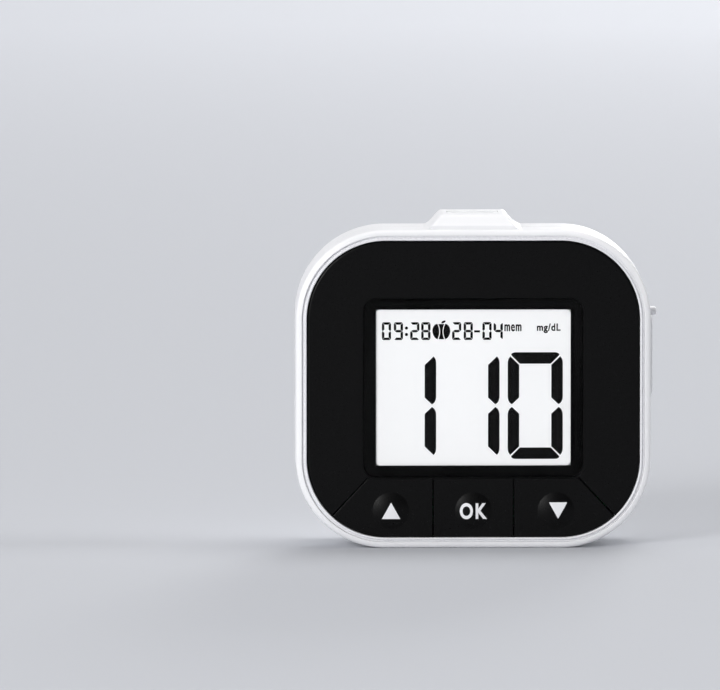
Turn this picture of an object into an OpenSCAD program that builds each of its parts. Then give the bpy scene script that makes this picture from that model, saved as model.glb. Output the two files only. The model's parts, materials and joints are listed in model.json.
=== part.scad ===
// Blood glucose meter: a pocket meter with a large display, three keys and a test strip port.
// X runs to the right and Z up as the user sees the front. The front faces -Y.
// The meter stands on its bottom edge at Z = 0, centred on X = 0 and Y = 0.

/* [Housing] */
// Width of the housing
body_w = 69.6; // [69:0.2:84]
// Height of the housing without the strip port
body_h = 62.6; // [62:0.2:76]
// Depth from the front rim to the back
body_d = 23; // [22.8:0.2:28]
// Corner radius seen from the front
corner_r = 17.6; // [16:0.2:18.5]
// Rounding of the front rim
front_edge_r = 1.3; // [0.8:0.1:1.3]
// Rounding of the back edge
back_edge_r = 6; // [4:0.5:6.5]
// Wall of both housing halves
wall = 1.6; // [1.4:0.1:2]
// Depth of the front half, up to the parting line
front_depth = 9; // [8.6:0.1:9.2]
// Height of the tongue that lines up the two halves
tongue_h = 1; // [0.6:0.1:1.2]

/* [Front face] */
// White ring seen around the black panel
ring_w = 2.1; // [1.9:0.1:2.4]
// Visible rim of the bezel, the inner part of the ring
bezel_rim = 0.55; // [0.4:0.05:0.7]
// Groove between the bezel and the housing
bezel_groove = 0.25; // [0.15:0.05:0.3]
// How far the panel and keys lie behind the front rim
panel_recess = 0.3; // [0.3:0.05:0.5]
// Thickness of the panel and of the keys
panel_t = 1.4; // [1.2:0.1:1.6]
// How far the display lens lies behind the panel
lens_recess = 0.25; // [0.1:0.05:0.3]
// Black border of the lens at each side of the display
lens_side = 2.45; // [2:0.05:4]
// Black border of the lens above and below the display
lens_edge = 2.25; // [1.8:0.05:4]
// Corner radius of the display lens
lens_r = 2.6; // [1:0.1:4]
// Width of the part of the display that shows
view_w = 38.2; // [34:0.1:39]
// Height of the part of the display that shows
view_h = 30.7; // [28:0.1:31]

/* [Keys] */
// Height of the row of keys above the ring
key_row_h = 11.65; // [11:0.05:13]
// Width of the middle key
ok_key_w = 15.8; // [14:0.1:18]
// Gap all round each key
key_gap = 0.3; // [0.2:0.05:0.4]
// Lean of the outer end of the key row, from upright
mitre_angle = 43; // [35:1:50]
// Distance of the outer domes from the middle
dome_x = 16.2; // [15:0.1:18]
// Height of the domes above the bottom of the meter
dome_z = 7.4; // [7:0.1:8]
// Radius of the domes
dome_r = 3.6; // [3:0.1:4]
// Height of the domes
dome_h = 0.3; // [0.1:0.05:0.3]

/* [Strip port] */
// Width of the port's top
port_top_w = 12.8; // [12:0.2:15]
// Height of the port above the housing
port_h = 2.8; // [2:0.1:3.5]
// Width of the slot for the test strip
slot_w = 7.2; // [6:0.1:8]
// Height of the slot for the test strip
slot_h = 1; // [0.8:0.1:1.4]

/* [Batteries] */
// Radius of an AAA cell
cell_r = 5.25; // [5:0.05:5.3]
// Length of an AAA cell with its cap
cell_l = 44.5; // [43:0.1:44.5]
// Height of the lower cell's axis
cell_z = 14.15; // [14:0.05:14.6]
// Room between the two cells
cell_gap = 0.5; // [0.3:0.1:1]
// Length of a pressed contact spring
spring_l = 3.2; // [2.4:0.1:3.4]
// Thickness of the battery door
door_t = 1.5; // [1.3:0.1:1.6]
// How far the battery door reaches past the bay's end walls
door_rest = 0.35; // [0.35:0.05:1]
// How far the battery door reaches above the bay, where its latch sits
door_reach = 3.6; // [3.4:0.1:4.5]
// Width of the latch
latch_w = 12; // [10:0.5:14]
// Travel of the latch
latch_travel = 1; // [0.8:0.1:1]

/* [Data port] */
// Height of the data port's axis
usb_z = 37.2; // [36.5:0.1:38]
// Length of the cover above its hinge
cover_l = 15.3; // [14:0.1:15.5]
// Width of the cover
cover_w = 7; // [6:0.1:7.5]
// Thickness of the cover
cover_t = 1; // [0.8:0.1:1]
// How far the cover stands proud of the housing
cover_proud = 0.4; // [0.2:0.1:0.5]

/* [Electronics] */
// Thickness of the circuit board
board_t = 1.2; // [1:0.1:1.6]
// Room between the circuit board and the inside of the housing
board_room = 2.4; // [2:0.1:3]
// Display glass beyond each side of the part that shows
glass_side = 2.4; // [1.5:0.1:3]
// Display glass above and below the part that shows
glass_edge = 2.65; // [2:0.05:3]
// Thickness of each of the two display glasses
glass_t = 1.1; // [0.7:0.1:1.1]

/* [Fasteners] */
// Thread radius of the housing screws
screw_r = 0.9; // [0.8:0.05:1]
// Head radius of the housing screws
screw_head_r = 2.1; // [1.8:0.1:2.2]
// Thread radius of the board screws
board_screw_r = 0.7; // [0.6:0.05:0.8]

/* [Hidden] */
$fn = 64;
eps = 0.02;   // overlap of a cut past the face it opens
fit = 0.1;    // clearance between parts that are laid in each other

// Depths, from the front to the back.
front_y = -body_d / 2;
back_y = body_d / 2;
split_y = front_y + front_depth;
panel_y = front_y + panel_recess;
panel_back_y = panel_y + panel_t;
ledge_t = 1.2;
ledge_back_y = panel_back_y + ledge_t;
mask_t = 0.05;
lens_y = panel_y + lens_recess;
seat_t = 0.8;
lcd_y = panel_back_y + seat_t + fit;
lcd_back_y = lcd_y + 2 * glass_t;
reflector_t = 0.3;
board_y = lcd_y + 4.4;
board_back_y = board_y + board_t;

// Widths and heights of the front.
side_x = body_w / 2;
mid_z = body_h / 2;
corner_x = side_x - corner_r;
key_top = ring_w + key_row_h;
lens_w = view_w + 2 * lens_side;
lens_h = view_h + 2 * lens_edge;
lens_z = key_top + key_gap / 2 + lens_h / 2;
glass_w = view_w + 2 * glass_side;
glass_h = view_h + 2 * glass_edge;
keypad_top_half = lens_w / 2 - 0.75;
slot_x = ok_key_w / 2;
seat_rim = 0.5;                       // the seat's opening beyond what shows of the display

// Keys, their posts and the switches behind them.
dome_xs = [-dome_x, 0, dome_x];
post_r = 1.2;
switch_w = 4.6;
switch_h = 2;
plunger_r = 1.2;
plunger_out = 1.1;                    // how far a plunger stands out of its switch
plunger_in = 0.9;                     // how deep it reaches into it
post_gap = 0.05;

// Board, posts and screws.
board_w = body_w - 2 * (wall + board_room);
board_h = body_h - 2 * (wall + board_room);
board_corner_r = corner_r - wall - board_room;
board_screw_at = [[side_x - 6.3, 28.6], [12, body_h - 6.6]];
board_post_r = 1.9;
board_screw_l = 4;
board_head_r = 1.7;
board_head_h = 1.1;
screw_at = [[side_x - 8.8, body_h - 15.1], [side_x - 5.8, 20]];
screw_wall = 0.9;
screw_boss_r = screw_head_r + 0.2 + screw_wall;
front_boss_r = 2.2;
screw_seat_y = back_y - 6.5;
screw_seat_t = 1.4;
screw_head_h = 1.5;
screw_l = 9;
thread_gap = 0.05;

// Strip port and its connector.
strip_y = board_back_y + 1.7;
port_top = body_h + port_h;
insert_w = 10;
insert_d = 4;
insert_bottom = body_h - 3;
connector_w = 13;
connector_h = 9.4;
connector_d = 3.4;
connector_top = insert_bottom - 0.2;

// Battery bay and door, from the back.
door_y = back_y - door_t;
cell_y = door_y - 0.35 - cell_r;
cell_pitch = 2 * cell_r + cell_gap;
plate_t = 0.4;
bay_half_w = (cell_l + spring_l + 2 * plate_t) / 2;
bay_floor_y = cell_y - cell_r - 0.05;
bay_bottom = cell_z - cell_r - 0.3;
bay_top = cell_z + cell_pitch + cell_r + 0.6;
bay_wall = 1;
door_hinge_y = back_y - 1.3;
door_hinge_r = back_y - door_hinge_y;
door_hinge_z = bay_bottom + 1;
door_half_w = bay_half_w + bay_wall + door_rest;
door_top = bay_top + door_reach;
door_gap = 0.15;
lug_r = 0.7;
lug_l = 1.1;
lug_gap = 0.05;
latch_z = door_top - 2.7;
hook_h = 1.2;
hook_d = 1.3;
nose_h = 0.8;
scoop_r = 12;
scoop_depth = 0.9;
scoop_w = 13;

// Data port and its cover, on the right.
usb_y = board_back_y + 1.95;
usb_w = 7.7;
usb_d = 3.9;
usb_wall = 0.35;
usb_l = 7.8;
usb_x = side_x - wall - 0.1;
cover_x = side_x + cover_proud;
cover_hinge_r = 1.1;
cover_hinge_x = cover_x - cover_hinge_r;
cover_hinge_z = usb_z - 7.2;
cover_top = cover_hinge_z + cover_l;
cover_gap = 0.1;
cover_lug_r = 0.4;
cover_lug_l = 0.7;
opening_w = usb_w + 1.5;
opening_d = usb_d + 1.3;

// ---------------------------------------------------------------- shared shapes

// 2D children, drawn as seen from the front, become a plate from depth y0 to depth y1.
module plate(y0, y1) translate([0, y1, 0]) rotate([90, 0, 0]) linear_extrude(y1 - y0) children();

// 2D children, drawn in Y and Z, become a plate from x0 to x1.
module side_plate(x0, x1) translate([x0, 0, 0]) rotate([90, 0, 90]) linear_extrude(x1 - x0) children();

// A round bar along Y.
module y_bar(x, z, r, y0, y1) translate([x, y1, z]) rotate([90, 0, 0]) cylinder(r = r, h = y1 - y0);

// A round bar along X.
module x_bar(x0, x1, y, z, r) translate([x0, y, z]) rotate([0, 90, 0]) cylinder(r = r, h = x1 - x0);

// A bar along Y that is mirrored to the left side too.
module y_bar_pair(at, r, y0, y1) for (s = [-1, 1]) y_bar(s * at[0], at[1], r, y0, y1);

// A rectangle with round corners, centred.
module round_rect(w, h, r) {
    square([w - 2 * r, h], center = true);
    square([w, h - 2 * r], center = true);
    for (sx = [-1, 1], sz = [-1, 1]) translate([sx * (w / 2 - r), sz * (h / 2 - r)]) circle(r);
}

// The meter's outline seen from the front, moved inwards.
module outline(inset) translate([0, mid_z])
    round_rect(body_w - 2 * inset, body_h - 2 * inset, corner_r - inset);

// Half the section of a block whose far edge is rounded.
module edge_section(reach, d, e) {
    square([reach, d - e]);
    square([reach - e, d]);
    translate([reach - e, d - e]) circle(e);
}

module full_section(reach, d, e) {
    edge_section(reach, d, e);
    mirror([1, 0]) edge_section(reach, d, e);
}

// A block with round corners of radius r and a far edge rounded with radius e.
module rounded_block(w, h, r, e, d) {
    rotate([90, 0, 90]) linear_extrude(w - 2 * r, center = true) full_section(h / 2, d, e);
    rotate([90, 0, 0]) linear_extrude(h - 2 * r, center = true) full_section(w / 2, d, e);
    for (a = [0, 90, 180, 270]) translate([
        (a == 0 || a == 270 ? 1 : -1) * (w / 2 - r),
        (a < 180 ? 1 : -1) * (h / 2 - r), 0
    ]) rotate([0, 0, a]) rotate_extrude(angle = 90) edge_section(r, d, e);
}

// The outside of the front half, and of the back half.
module front_block() translate([0, split_y, mid_z]) rotate([90, 0, 0])
    rounded_block(body_w, body_h, corner_r, front_edge_r, front_depth);

module back_block(inset) translate([0, split_y, mid_z]) rotate([90, 0, 180])
    rounded_block(body_w - 2 * inset, body_h - 2 * inset, corner_r - inset, back_edge_r - inset,
        back_y - split_y - inset);

// ---------------------------------------------------------------- strip port hump

// Front view of the hump: straight flanks that lean in.
module hump_front() {
    low = body_h - 2.8;
    half_top = port_top_w / 2;
    half_low = half_top + (port_top - low) * tan(38);
    polygon([[-half_low, low], [-half_top, port_top], [half_top, port_top], [half_low, low]]);
}

// Side view of the hump: it ramps up behind the front rim and falls away to the back.
module hump_side() polygon([
    [front_y + front_edge_r, body_h - 2.8], [front_y + front_edge_r, body_h - 0.6],
    [front_y + 4.4, port_top], [back_y - 6.5, port_top], [back_y - 2.2, body_h - 1.8],
    [back_y - 4, body_h - 2.8]
]);

module hump(y0, y1) intersection() {
    plate(y0, y1) hump_front();
    side_plate(-side_x, side_x) hump_side();
}

// Pocket of the port insert, shared by the two halves.
module insert_pocket() translate([-insert_w / 2 - fit, strip_y - insert_d / 2 - fit, insert_bottom - 2])
    cube([insert_w + 2 * fit, insert_d + 2 * fit, port_top - insert_bottom + 3]);

// ---------------------------------------------------------------- data port, shared cuts

// Seen from the right: the recess of the cover, from y = -w/2 to w/2 about the port's axis.
module cover_outline(grow) {
    w = cover_w + 2 * grow;
    r = 1.5;
    translate([usb_y - w / 2, cover_hinge_z]) square([w, cover_l + grow - r]);
    translate([usb_y - w / 2 + r, cover_hinge_z]) square([w - 2 * r, cover_l + grow]);
    for (s = [-1, 1]) translate([usb_y + s * (w / 2 - r), cover_top + grow - r]) circle(r);
}

module port_cuts() {
    groove_r = cover_hinge_r + cover_gap;
    side_plate(cover_x - cover_t - cover_gap, side_x + 2) cover_outline(cover_gap + 0.05);
    translate([cover_hinge_x, usb_y, cover_hinge_z]) rotate([90, 0, 0])
        cylinder(r = groove_r, h = cover_w + 0.3, center = true);
    translate([cover_hinge_x, usb_y - cover_w / 2 - 0.15, cover_hinge_z - groove_r])
        cube([4, cover_w + 0.3, groove_r + eps]);
    translate([cover_hinge_x, usb_y, cover_hinge_z]) rotate([90, 0, 0])
        cylinder(r = cover_lug_r + lug_gap, h = cover_w + 2 * cover_lug_l + 0.4, center = true);
    translate([side_x - wall - 4, usb_y - opening_d / 2, usb_z - opening_w / 2])
        cube([6, opening_d, opening_w]);
}

// Thicker wall behind the cover, between depths y0 and y1.
module port_pad(y0, y1) {
    lo = max(y0, usb_y - 4.8);
    hi = min(y1, usb_y + 4.8);
    translate([side_x - wall - 1.3, lo, cover_hinge_z - 2.6]) cube([1.6, hi - lo, cover_l + 3.4]);
}

// ---------------------------------------------------------------- housing

module front_housing() color("white") difference() {
    union() {
        difference() {
            union() {
                front_block();
                hump(front_y, split_y);
            }
            plate(ledge_back_y, split_y + 1) outline(wall);
            plate(split_y - tongue_h - thread_gap, split_y + 1) outline(wall / 2);
        }
        port_pad(ledge_back_y, split_y - tongue_h - fit);
        for (at = screw_at, s = [-1, 1]) {
            y_bar(s * at[0], at[1], front_boss_r, panel_back_y + fit, screw_seat_y - screw_seat_t - fit);
            rib(s, at, board_y - fit);
        }
        for (at = board_screw_at) y_bar_pair(at, board_post_r, panel_back_y + fit, board_y);
        for (s = [-1, 1]) {
            rib(s, board_screw_at[0], board_y);
            translate([s * board_screw_at[1][0] - 0.8, ledge_back_y - 0.5, board_screw_at[1][1]])
                cube([1.6, board_y - ledge_back_y + 0.5, body_h - board_screw_at[1][1] - 1]);
        }
    }
    plate(front_y - 1, panel_back_y) outline(ring_w - bezel_rim - bezel_groove);
    plate(panel_back_y - eps, ledge_back_y + eps) ledge_opening();
    for (at = screw_at)
        y_bar_pair(at, screw_r + thread_gap, screw_seat_y - screw_l - 0.6, screw_seat_y);
    for (at = board_screw_at)
        y_bar_pair(at, board_screw_r + thread_gap, board_back_y - board_screw_l - 1, board_y + 1);
    port_cuts();
    insert_pocket();
}

// A rib from a boss at the side to the housing wall.
module rib(s, at, y1) translate([s > 0 ? at[0] : -side_x + 1, ledge_back_y - 0.5, at[1] - 0.8])
    cube([side_x - 1 - at[0], y1 - ledge_back_y + 0.5, 1.6]);

// The ledge under the panel is cut away behind the keys, and round the bosses it stays.
module ledge_opening() {
    difference() {
        outline(ring_w + 1.3);
        for (at = concat(screw_at, board_screw_at), s = [-1, 1]) translate([s * at[0], at[1]]) circle(front_boss_r + 0.5);
    }
    intersection() {
        outline(ring_w);
        keypad_area(-0.2);
    }
}

module rear_housing() color("white") difference() {
    union() {
        difference() {
            union() {
                back_block(0);
                hump(split_y, back_y);
            }
            translate([0, -eps, 0]) back_block(wall);
        }
        plate(split_y - tongue_h, split_y + 1) difference() {
            outline(wall / 2 + thread_gap);
            outline(wall - 0.1);
        }
        bay_block();
        port_pad(split_y, back_y);
        for (at = screw_at) y_bar_pair(at, screw_boss_r, screw_seat_y - screw_seat_t, door_y);
    }
    bay_cuts();
    for (at = screw_at) {
        y_bar_pair(at, screw_head_r + 0.2, screw_seat_y, back_y + 1);
        y_bar_pair(at, screw_r + 0.25, screw_seat_y - screw_seat_t - 1, screw_seat_y + 1);
    }
    port_cuts();
    insert_pocket();
    buzzer_holes();
    plate(back_y - 0.2, back_y + 1) label_outline(fit);
}

// Walls of the battery bay, the ledge under the door and the pocket of the latch.
module bay_block() {
    outer = bay_half_w + bay_wall;
    translate([-outer, bay_floor_y - bay_wall, bay_bottom - 1.6])
        cube([2 * outer, door_y - bay_floor_y + bay_wall, bay_top - bay_bottom + 1.6 + bay_wall]);
    translate([-door_half_w - 0.9, door_y - 1.1, bay_top])
        cube([2 * door_half_w + 1.8, 1.1 + eps, door_top - bay_top + 1]);
    translate([-latch_w / 2 - 2, door_y - 2.6, bay_top])
        cube([latch_w + 4, 2.6 + eps, door_top - bay_top + 2.2]);
    for (s = [-1, 1]) translate([s > 0 ? outer - eps : -outer - 2.35, door_hinge_y - door_hinge_r, door_hinge_z - 1.4])
        cube([2.35 + eps, door_hinge_r + 0.4, 2.8]);
}

module bay_cuts() {
    outer = door_half_w + door_gap;
    // Room of the cells.
    difference() {
        translate([-bay_half_w, bay_floor_y, bay_bottom])
            cube([2 * bay_half_w, body_d, bay_top - bay_bottom]);
        // Low rib between the cells.
        translate([-bay_half_w + 6, bay_floor_y - eps, cell_z + cell_pitch / 2 - 0.6])
            cube([2 * bay_half_w - 12, 1.5, 1.2]);
    }
    // Opening of the door, its round hinge and the hinge's sockets.
    translate([-outer, door_y - fit, door_hinge_z])
        cube([2 * outer, 3, door_top + door_gap - door_hinge_z]);
    x_bar(-outer, outer, door_hinge_y, door_hinge_z, door_hinge_r + door_gap);
    translate([-outer, door_hinge_y, door_hinge_z - door_hinge_r - door_gap])
        cube([2 * outer, 3, door_hinge_r + door_gap + eps]);
    x_bar(-door_half_w - lug_l - fit, door_half_w + lug_l + fit, door_hinge_y, door_hinge_z, lug_r + lug_gap);
    // Pocket of the latch, and the finger scoop above it.
    translate([-latch_w / 2 - 0.3, door_y - hook_d - 0.2, bay_top + 1.3])
        cube([latch_w + 0.6, hook_d + 0.1, door_top + nose_h + 0.5 - bay_top - 1.3]);
    x_bar(-scoop_w / 2, scoop_w / 2, back_y + scoop_r - scoop_depth, door_top + door_gap, scoop_r);
    // Slots for the legs of the contacts.
    for (s = [-1, 1], i = [0, 1]) translate([
        s * (bay_half_w - plate_t / 2) - plate_t / 2 - fit, bay_floor_y - bay_wall - 1, cell_z + i * cell_pitch - 1.6
    ]) cube([plate_t + 2 * fit, bay_wall + 2, 3.2]);
}

module buzzer_holes() {
    at = [-19.5, 41];
    r = 0.45;
    y_bar(at[0], at[1], r, back_y - 3, back_y + 1);
    for (a = [0:60:300]) y_bar(at[0] + 1.7 * cos(a), at[1] + 1.7 * sin(a), r, back_y - 3, back_y + 1);
}

module label_outline(grow) translate([0, body_h - 13.6]) round_rect(28 + 2 * grow, 11.5 + 2 * grow, 1.2 + grow);

module blank_label() color("lightgray") plate(back_y - 0.2, back_y - 0.05) label_outline(0);

// ---------------------------------------------------------------- front face

// Area of the row of keys. A positive inset makes it smaller.
module keypad_area(inset) {
    top = key_top - inset;
    side = inset / cos(mitre_angle);
    reach = tan(mitre_angle);
    bottom = -2;
    half_top = keypad_top_half + inset * reach - side;
    half_bottom = half_top + (top - bottom) * reach;
    polygon([[-half_top, top], [half_top, top], [half_bottom, bottom], [-half_bottom, bottom]]);
}

module front_bezel() color("whitesmoke") {
    seat = ring_w - bezel_rim - bezel_groove;
    plate(front_y, panel_back_y) difference() {
        outline(seat + bezel_groove);
        outline(ring_w);
    }
    plate(front_y + 0.4, panel_back_y) difference() {
        outline(seat + thread_gap);
        outline(seat + bezel_groove + eps);
    }
}

module front_panel() color([0.09, 0.09, 0.09]) {
    plate(panel_y, panel_back_y) difference() {
        outline(ring_w + fit);
        keypad_area(-key_gap / 2);
        translate([0, lens_z]) round_rect(lens_w + 2 * fit, lens_h + 2 * fit, lens_r + fit);
    }
    // Frame behind the panel that the lens lies on.
    plate(panel_back_y - eps, panel_back_y + seat_t) difference() {
        translate([0, lens_z]) round_rect(lens_w + 3, lens_h + 3, lens_r + 1);
        translate([0, lens_z]) square([view_w + 2 * seat_rim, view_h + 2 * seat_rim], center = true);
        translate([-side_x, key_top - 5]) square([body_w, 5 + key_gap / 2]);
    }
}

module display_lens() color([0.8, 0.85, 0.88, 0.4]) plate(lens_y, panel_back_y - mask_t - eps)
    translate([0, lens_z]) round_rect(lens_w, lens_h, lens_r);

module display_mask() color([0.02, 0.02, 0.02]) plate(panel_back_y - mask_t - eps, panel_back_y - eps)
    translate([0, lens_z]) difference() {
        round_rect(lens_w, lens_h, lens_r);
        square([view_w, view_h], center = true);
    }

// One key between x0 and x1, with a low dome and the post that presses its switch.
module key(x0, x1, dome_at) color([0.09, 0.09, 0.09]) {
    ball_r = (dome_r * dome_r + dome_h * dome_h) / (2 * dome_h);
    plate(panel_y, panel_back_y) intersection() {
        outline(ring_w + key_gap / 2);
        keypad_area(key_gap / 2);
        translate([x0, 0]) square([x1 - x0, key_top]);
    }
    intersection() {
        translate([dome_at, panel_y - dome_h + ball_r, dome_z]) sphere(r = ball_r, $fn = 128);
        y_bar(dome_at, dome_z, dome_r, panel_y - dome_h - 0.1, panel_y + 0.2);
    }
    y_bar(dome_at, dome_z, post_r, panel_back_y - 0.2, board_y - switch_h - plunger_out - post_gap);
}

module up_key() key(-side_x, -slot_x - key_gap / 2, dome_xs[0]);
module ok_key() key(-slot_x + key_gap / 2, slot_x - key_gap / 2, dome_xs[1]);
module down_key() key(slot_x + key_gap / 2, side_x, dome_xs[2]);

// ---------------------------------------------------------------- switches

module switch_plunger(x) color("ivory")
    y_bar(x, dome_z, plunger_r, board_y - switch_h - plunger_out, board_y - switch_h + plunger_in);

module up_switch_plunger() switch_plunger(dome_xs[0]);
module ok_switch_plunger() switch_plunger(dome_xs[1]);
module down_switch_plunger() switch_plunger(dome_xs[2]);

module tact_switches() color("dimgray") for (x = dome_xs) difference() {
    translate([x - switch_w / 2, board_y - switch_h, dome_z - switch_w / 2]) cube([switch_w, switch_h, switch_w]);
    y_bar(x, dome_z, plunger_r + fit, board_y - switch_h - 1, board_y - 0.3);
}

// ---------------------------------------------------------------- display

module lcd_glass() color([0.85, 0.88, 0.85, 0.6]) translate([0, 0, lens_z]) {
    plate(lcd_y, lcd_y + glass_t) square([glass_w, glass_h], center = true);
    plate(lcd_y + glass_t, lcd_back_y) square([glass_w, glass_h - 5], center = true);
}

module lcd_reflector() color("white") translate([0, 0, lens_z])
    plate(lcd_back_y, lcd_back_y + reflector_t) square([glass_w - 1, glass_h - 5.6], center = true);

module lcd_frame() color("gainsboro") translate([0, 0, lens_z]) {
    plate(lcd_y, board_y) difference() {
        square([glass_w + 3.5, glass_h + 3.5], center = true);
        square([glass_w + 0.2, glass_h + 0.2], center = true);
    }
    plate(lcd_back_y + reflector_t + fit, lcd_back_y + reflector_t + 0.9)
        square([glass_w + 1, glass_h - 5], center = true);
}

module contact_strip(s) color("darkslategray") translate([0, 0, lens_z + s * (glass_h / 2 - 1.2)])
    plate(lcd_y + glass_t, board_y) square([glass_w - 3, 1.8], center = true);

module contact_strip_upper() contact_strip(1);
module contact_strip_lower() contact_strip(-1);

// ---------------------------------------------------------------- circuit board

module main_board() color("darkgreen") difference() {
    plate(board_y, board_back_y) translate([0, mid_z]) round_rect(board_w, board_h, board_corner_r);
    for (at = screw_at) y_bar_pair(at, front_boss_r + 0.4, board_y - 1, board_back_y + 1);
    for (at = board_screw_at) y_bar_pair(at, board_screw_r + 0.4, board_y - 1, board_back_y + 1);
}

// Chip on the back of the board: its body and the row of legs on each side.
module chip(x, z, w, h, t, legs) {
    leg_w = 0.3;
    leg_out = 0.9;
    pitch = w / (legs + 1);
    translate([x - w / 2, board_back_y + 0.1, z - h / 2]) cube([w, t, h]);
    for (i = [1:legs], s = [-1, 1]) translate([
        x - w / 2 + i * pitch - leg_w / 2, board_back_y, z + (s > 0 ? h / 2 - 0.2 : -h / 2 - leg_out + 0.2)
    ]) cube([leg_w, 0.5, leg_out]);
}

module microcontroller() color([0.12, 0.12, 0.13]) chip(13.5, body_h - 17.1, 9, 8, 1.3, 9);

module board_components() color("tan") {
    chip(-17.5, body_h - 26.6, 5, 4, 1.2, 4);
    chip(8, body_h - 25.6, 3, 1.7, 0.9, 3);
    // Row of small capacitors and resistors.
    for (i = [0:6]) translate([-11 + 3.2 * i, board_back_y, body_h - 29.2]) cube([1, 0.6, 1.8]);
    for (i = [0:3]) translate([20.6, board_back_y, body_h - 24 + 2.2 * i]) cube([1.8, 0.6, 1]);
    // Quartz crystal can.
    x_bar(-4.5, 1.5, board_back_y + 1.1, body_h - 24.6, 1.1);
}

module buzzer() color([0.1, 0.1, 0.1]) difference() {
    y_bar(-14.8, body_h - 16.6, 5.8, board_back_y, board_back_y + 3);
    y_bar(-14.8, body_h - 16.6, 0.9, board_back_y + 2, board_back_y + 4);
}

// ---------------------------------------------------------------- strip port

module strip_slot(z0, z1) translate([-slot_w / 2, strip_y - slot_h / 2, z0]) cube([slot_w, slot_h, z1 - z0]);

module strip_connector() color("ivory") difference() {
    translate([-connector_w / 2, board_back_y, connector_top - connector_h])
        cube([connector_w, connector_d, connector_h]);
    strip_slot(connector_top - connector_h + 1.4, connector_top + 1);
    for (i = [-2:2]) translate([1.3 * i - 0.4, strip_y, connector_top - connector_h - 1])
        cube([0.8, slot_h / 2 + 0.7, connector_h - 0.4]);
}

module strip_contacts() color("gold") for (i = [-2:2]) translate([1.3 * i - 0.3, 0, connector_top - connector_h]) {
    translate([0, strip_y + slot_h / 2 + 0.1, 0]) cube([0.6, 0.25, connector_h - 2]);
    translate([0, board_back_y, -1.2]) cube([0.6, strip_y + slot_h / 2 + 0.35 - board_back_y, 0.25]);
    translate([0, strip_y + slot_h / 2 + 0.1, -1.2]) cube([0.6, 0.25, 1.3]);
}

module port_insert() color("whitesmoke") difference() {
    translate([-insert_w / 2, strip_y - insert_d / 2, insert_bottom]) cube([insert_w, insert_d, port_top - insert_bottom - 0.1]);
    strip_slot(insert_bottom - 1, port_top + 1);
    side_plate(-slot_w / 2 - 0.4, slot_w / 2 + 0.4) polygon([
        [strip_y - slot_h / 2, port_top - 2.2], [strip_y - slot_h / 2 - 0.8, port_top + 0.2],
        [strip_y + slot_h / 2 + 0.8, port_top + 0.2], [strip_y + slot_h / 2, port_top - 2.2]
    ]);
}

// ---------------------------------------------------------------- data port

module usb_box(grow, x0, x1) translate([x0, usb_y - usb_d / 2 - grow, usb_z - usb_w / 2 - grow])
    cube([x1 - x0, usb_d + 2 * grow, usb_w + 2 * grow]);

module data_port() color("silver") difference() {
    usb_box(0, usb_x - usb_l, usb_x);
    usb_box(-usb_wall, usb_x - usb_l + usb_wall, usb_x + 1);
}

module data_port_core() color([0.1, 0.1, 0.1]) {
    usb_box(-usb_wall, usb_x - usb_l + usb_wall, usb_x - usb_l + 2);
    translate([usb_x - usb_l + 1, usb_y - 0.5, usb_z - 2.6]) cube([usb_l - 2.2, 0.9, 5.2]);
}

module port_cover() color("white") {
    side_plate(cover_x - cover_t, cover_x) cover_outline(0);
    // Round lower end and its two hinge lugs.
    translate([cover_hinge_x, usb_y, cover_hinge_z]) rotate([90, 0, 0]) {
        cylinder(r = cover_hinge_r, h = cover_w, center = true);
        cylinder(r = cover_lug_r, h = cover_w + 2 * cover_lug_l, center = true);
    }
    // Rib that plugs the opening.
    translate([side_x - wall + 0.15, usb_y - opening_d / 2 + 0.3, usb_z - opening_w / 2 + 0.3])
        cube([wall + cover_proud - cover_t - 0.15 + eps, opening_d - 0.6, opening_w - 0.6]);
    // Fingernail lip.
    side_plate(side_x + 0.15, side_x + 1.2) translate([usb_y, cover_top + 0.45]) round_rect(3.6, 1.7, 0.6);
}

// ---------------------------------------------------------------- battery door

module door_plan(x0, x1, z0, z1) intersection() {
    back_block(0);
    translate([x0, door_y, z0]) cube([x1 - x0, door_t + 1, z1 - z0]);
}

module battery_door() color("white") {
    notch = latch_w / 2 + 0.2;
    difference() {
        door_plan(-door_half_w, door_half_w, door_hinge_z, door_top);
        translate([-notch, door_y - 1, latch_z - latch_travel - 0.2]) cube([2 * notch, 4, 10]);
        // Grip ribs below the latch, as grooves.
        for (i = [0:2]) translate([-latch_w / 2, back_y - 0.35, latch_z - 3.4 - 1.5 * i]) cube([latch_w, 1, 0.7]);
    }
    intersection() {
        x_bar(-door_half_w, door_half_w, door_hinge_y, door_hinge_z, door_hinge_r);
        back_block(0);
    }
    x_bar(-door_half_w - lug_l, door_half_w + lug_l, door_hinge_y, door_hinge_z, lug_r);
}

module door_latch() color("white") {
    door_plan(-latch_w / 2, latch_w / 2, latch_z, door_top);
    translate([-latch_w / 2 + 0.3, door_y - hook_d, door_top - hook_h]) cube([latch_w - 0.6, hook_d + eps, hook_h]);
    translate([-latch_w / 2 + 0.3, door_y - hook_d, door_top - eps]) cube([latch_w - 0.6, hook_d - 0.2, nose_h]);
}

// ---------------------------------------------------------------- batteries

// A cell with its cap towards +X (s = 1) or -X (s = -1).
module battery(i, s) color([0.25, 0.3, 0.38]) {
    cap_r = 1.9;
    cap_l = 1;
    tip = s * (bay_half_w - plate_t);
    shoulder = tip - s * cap_l;
    foot = tip - s * cell_l;
    x_bar(min(shoulder, foot), max(shoulder, foot), cell_y, cell_z + i * cell_pitch, cell_r);
    x_bar(min(shoulder - s * eps, tip), max(shoulder - s * eps, tip), cell_y, cell_z + i * cell_pitch, cap_r);
}

module battery_upper() battery(1, -1);
module battery_lower() battery(0, 1);

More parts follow.
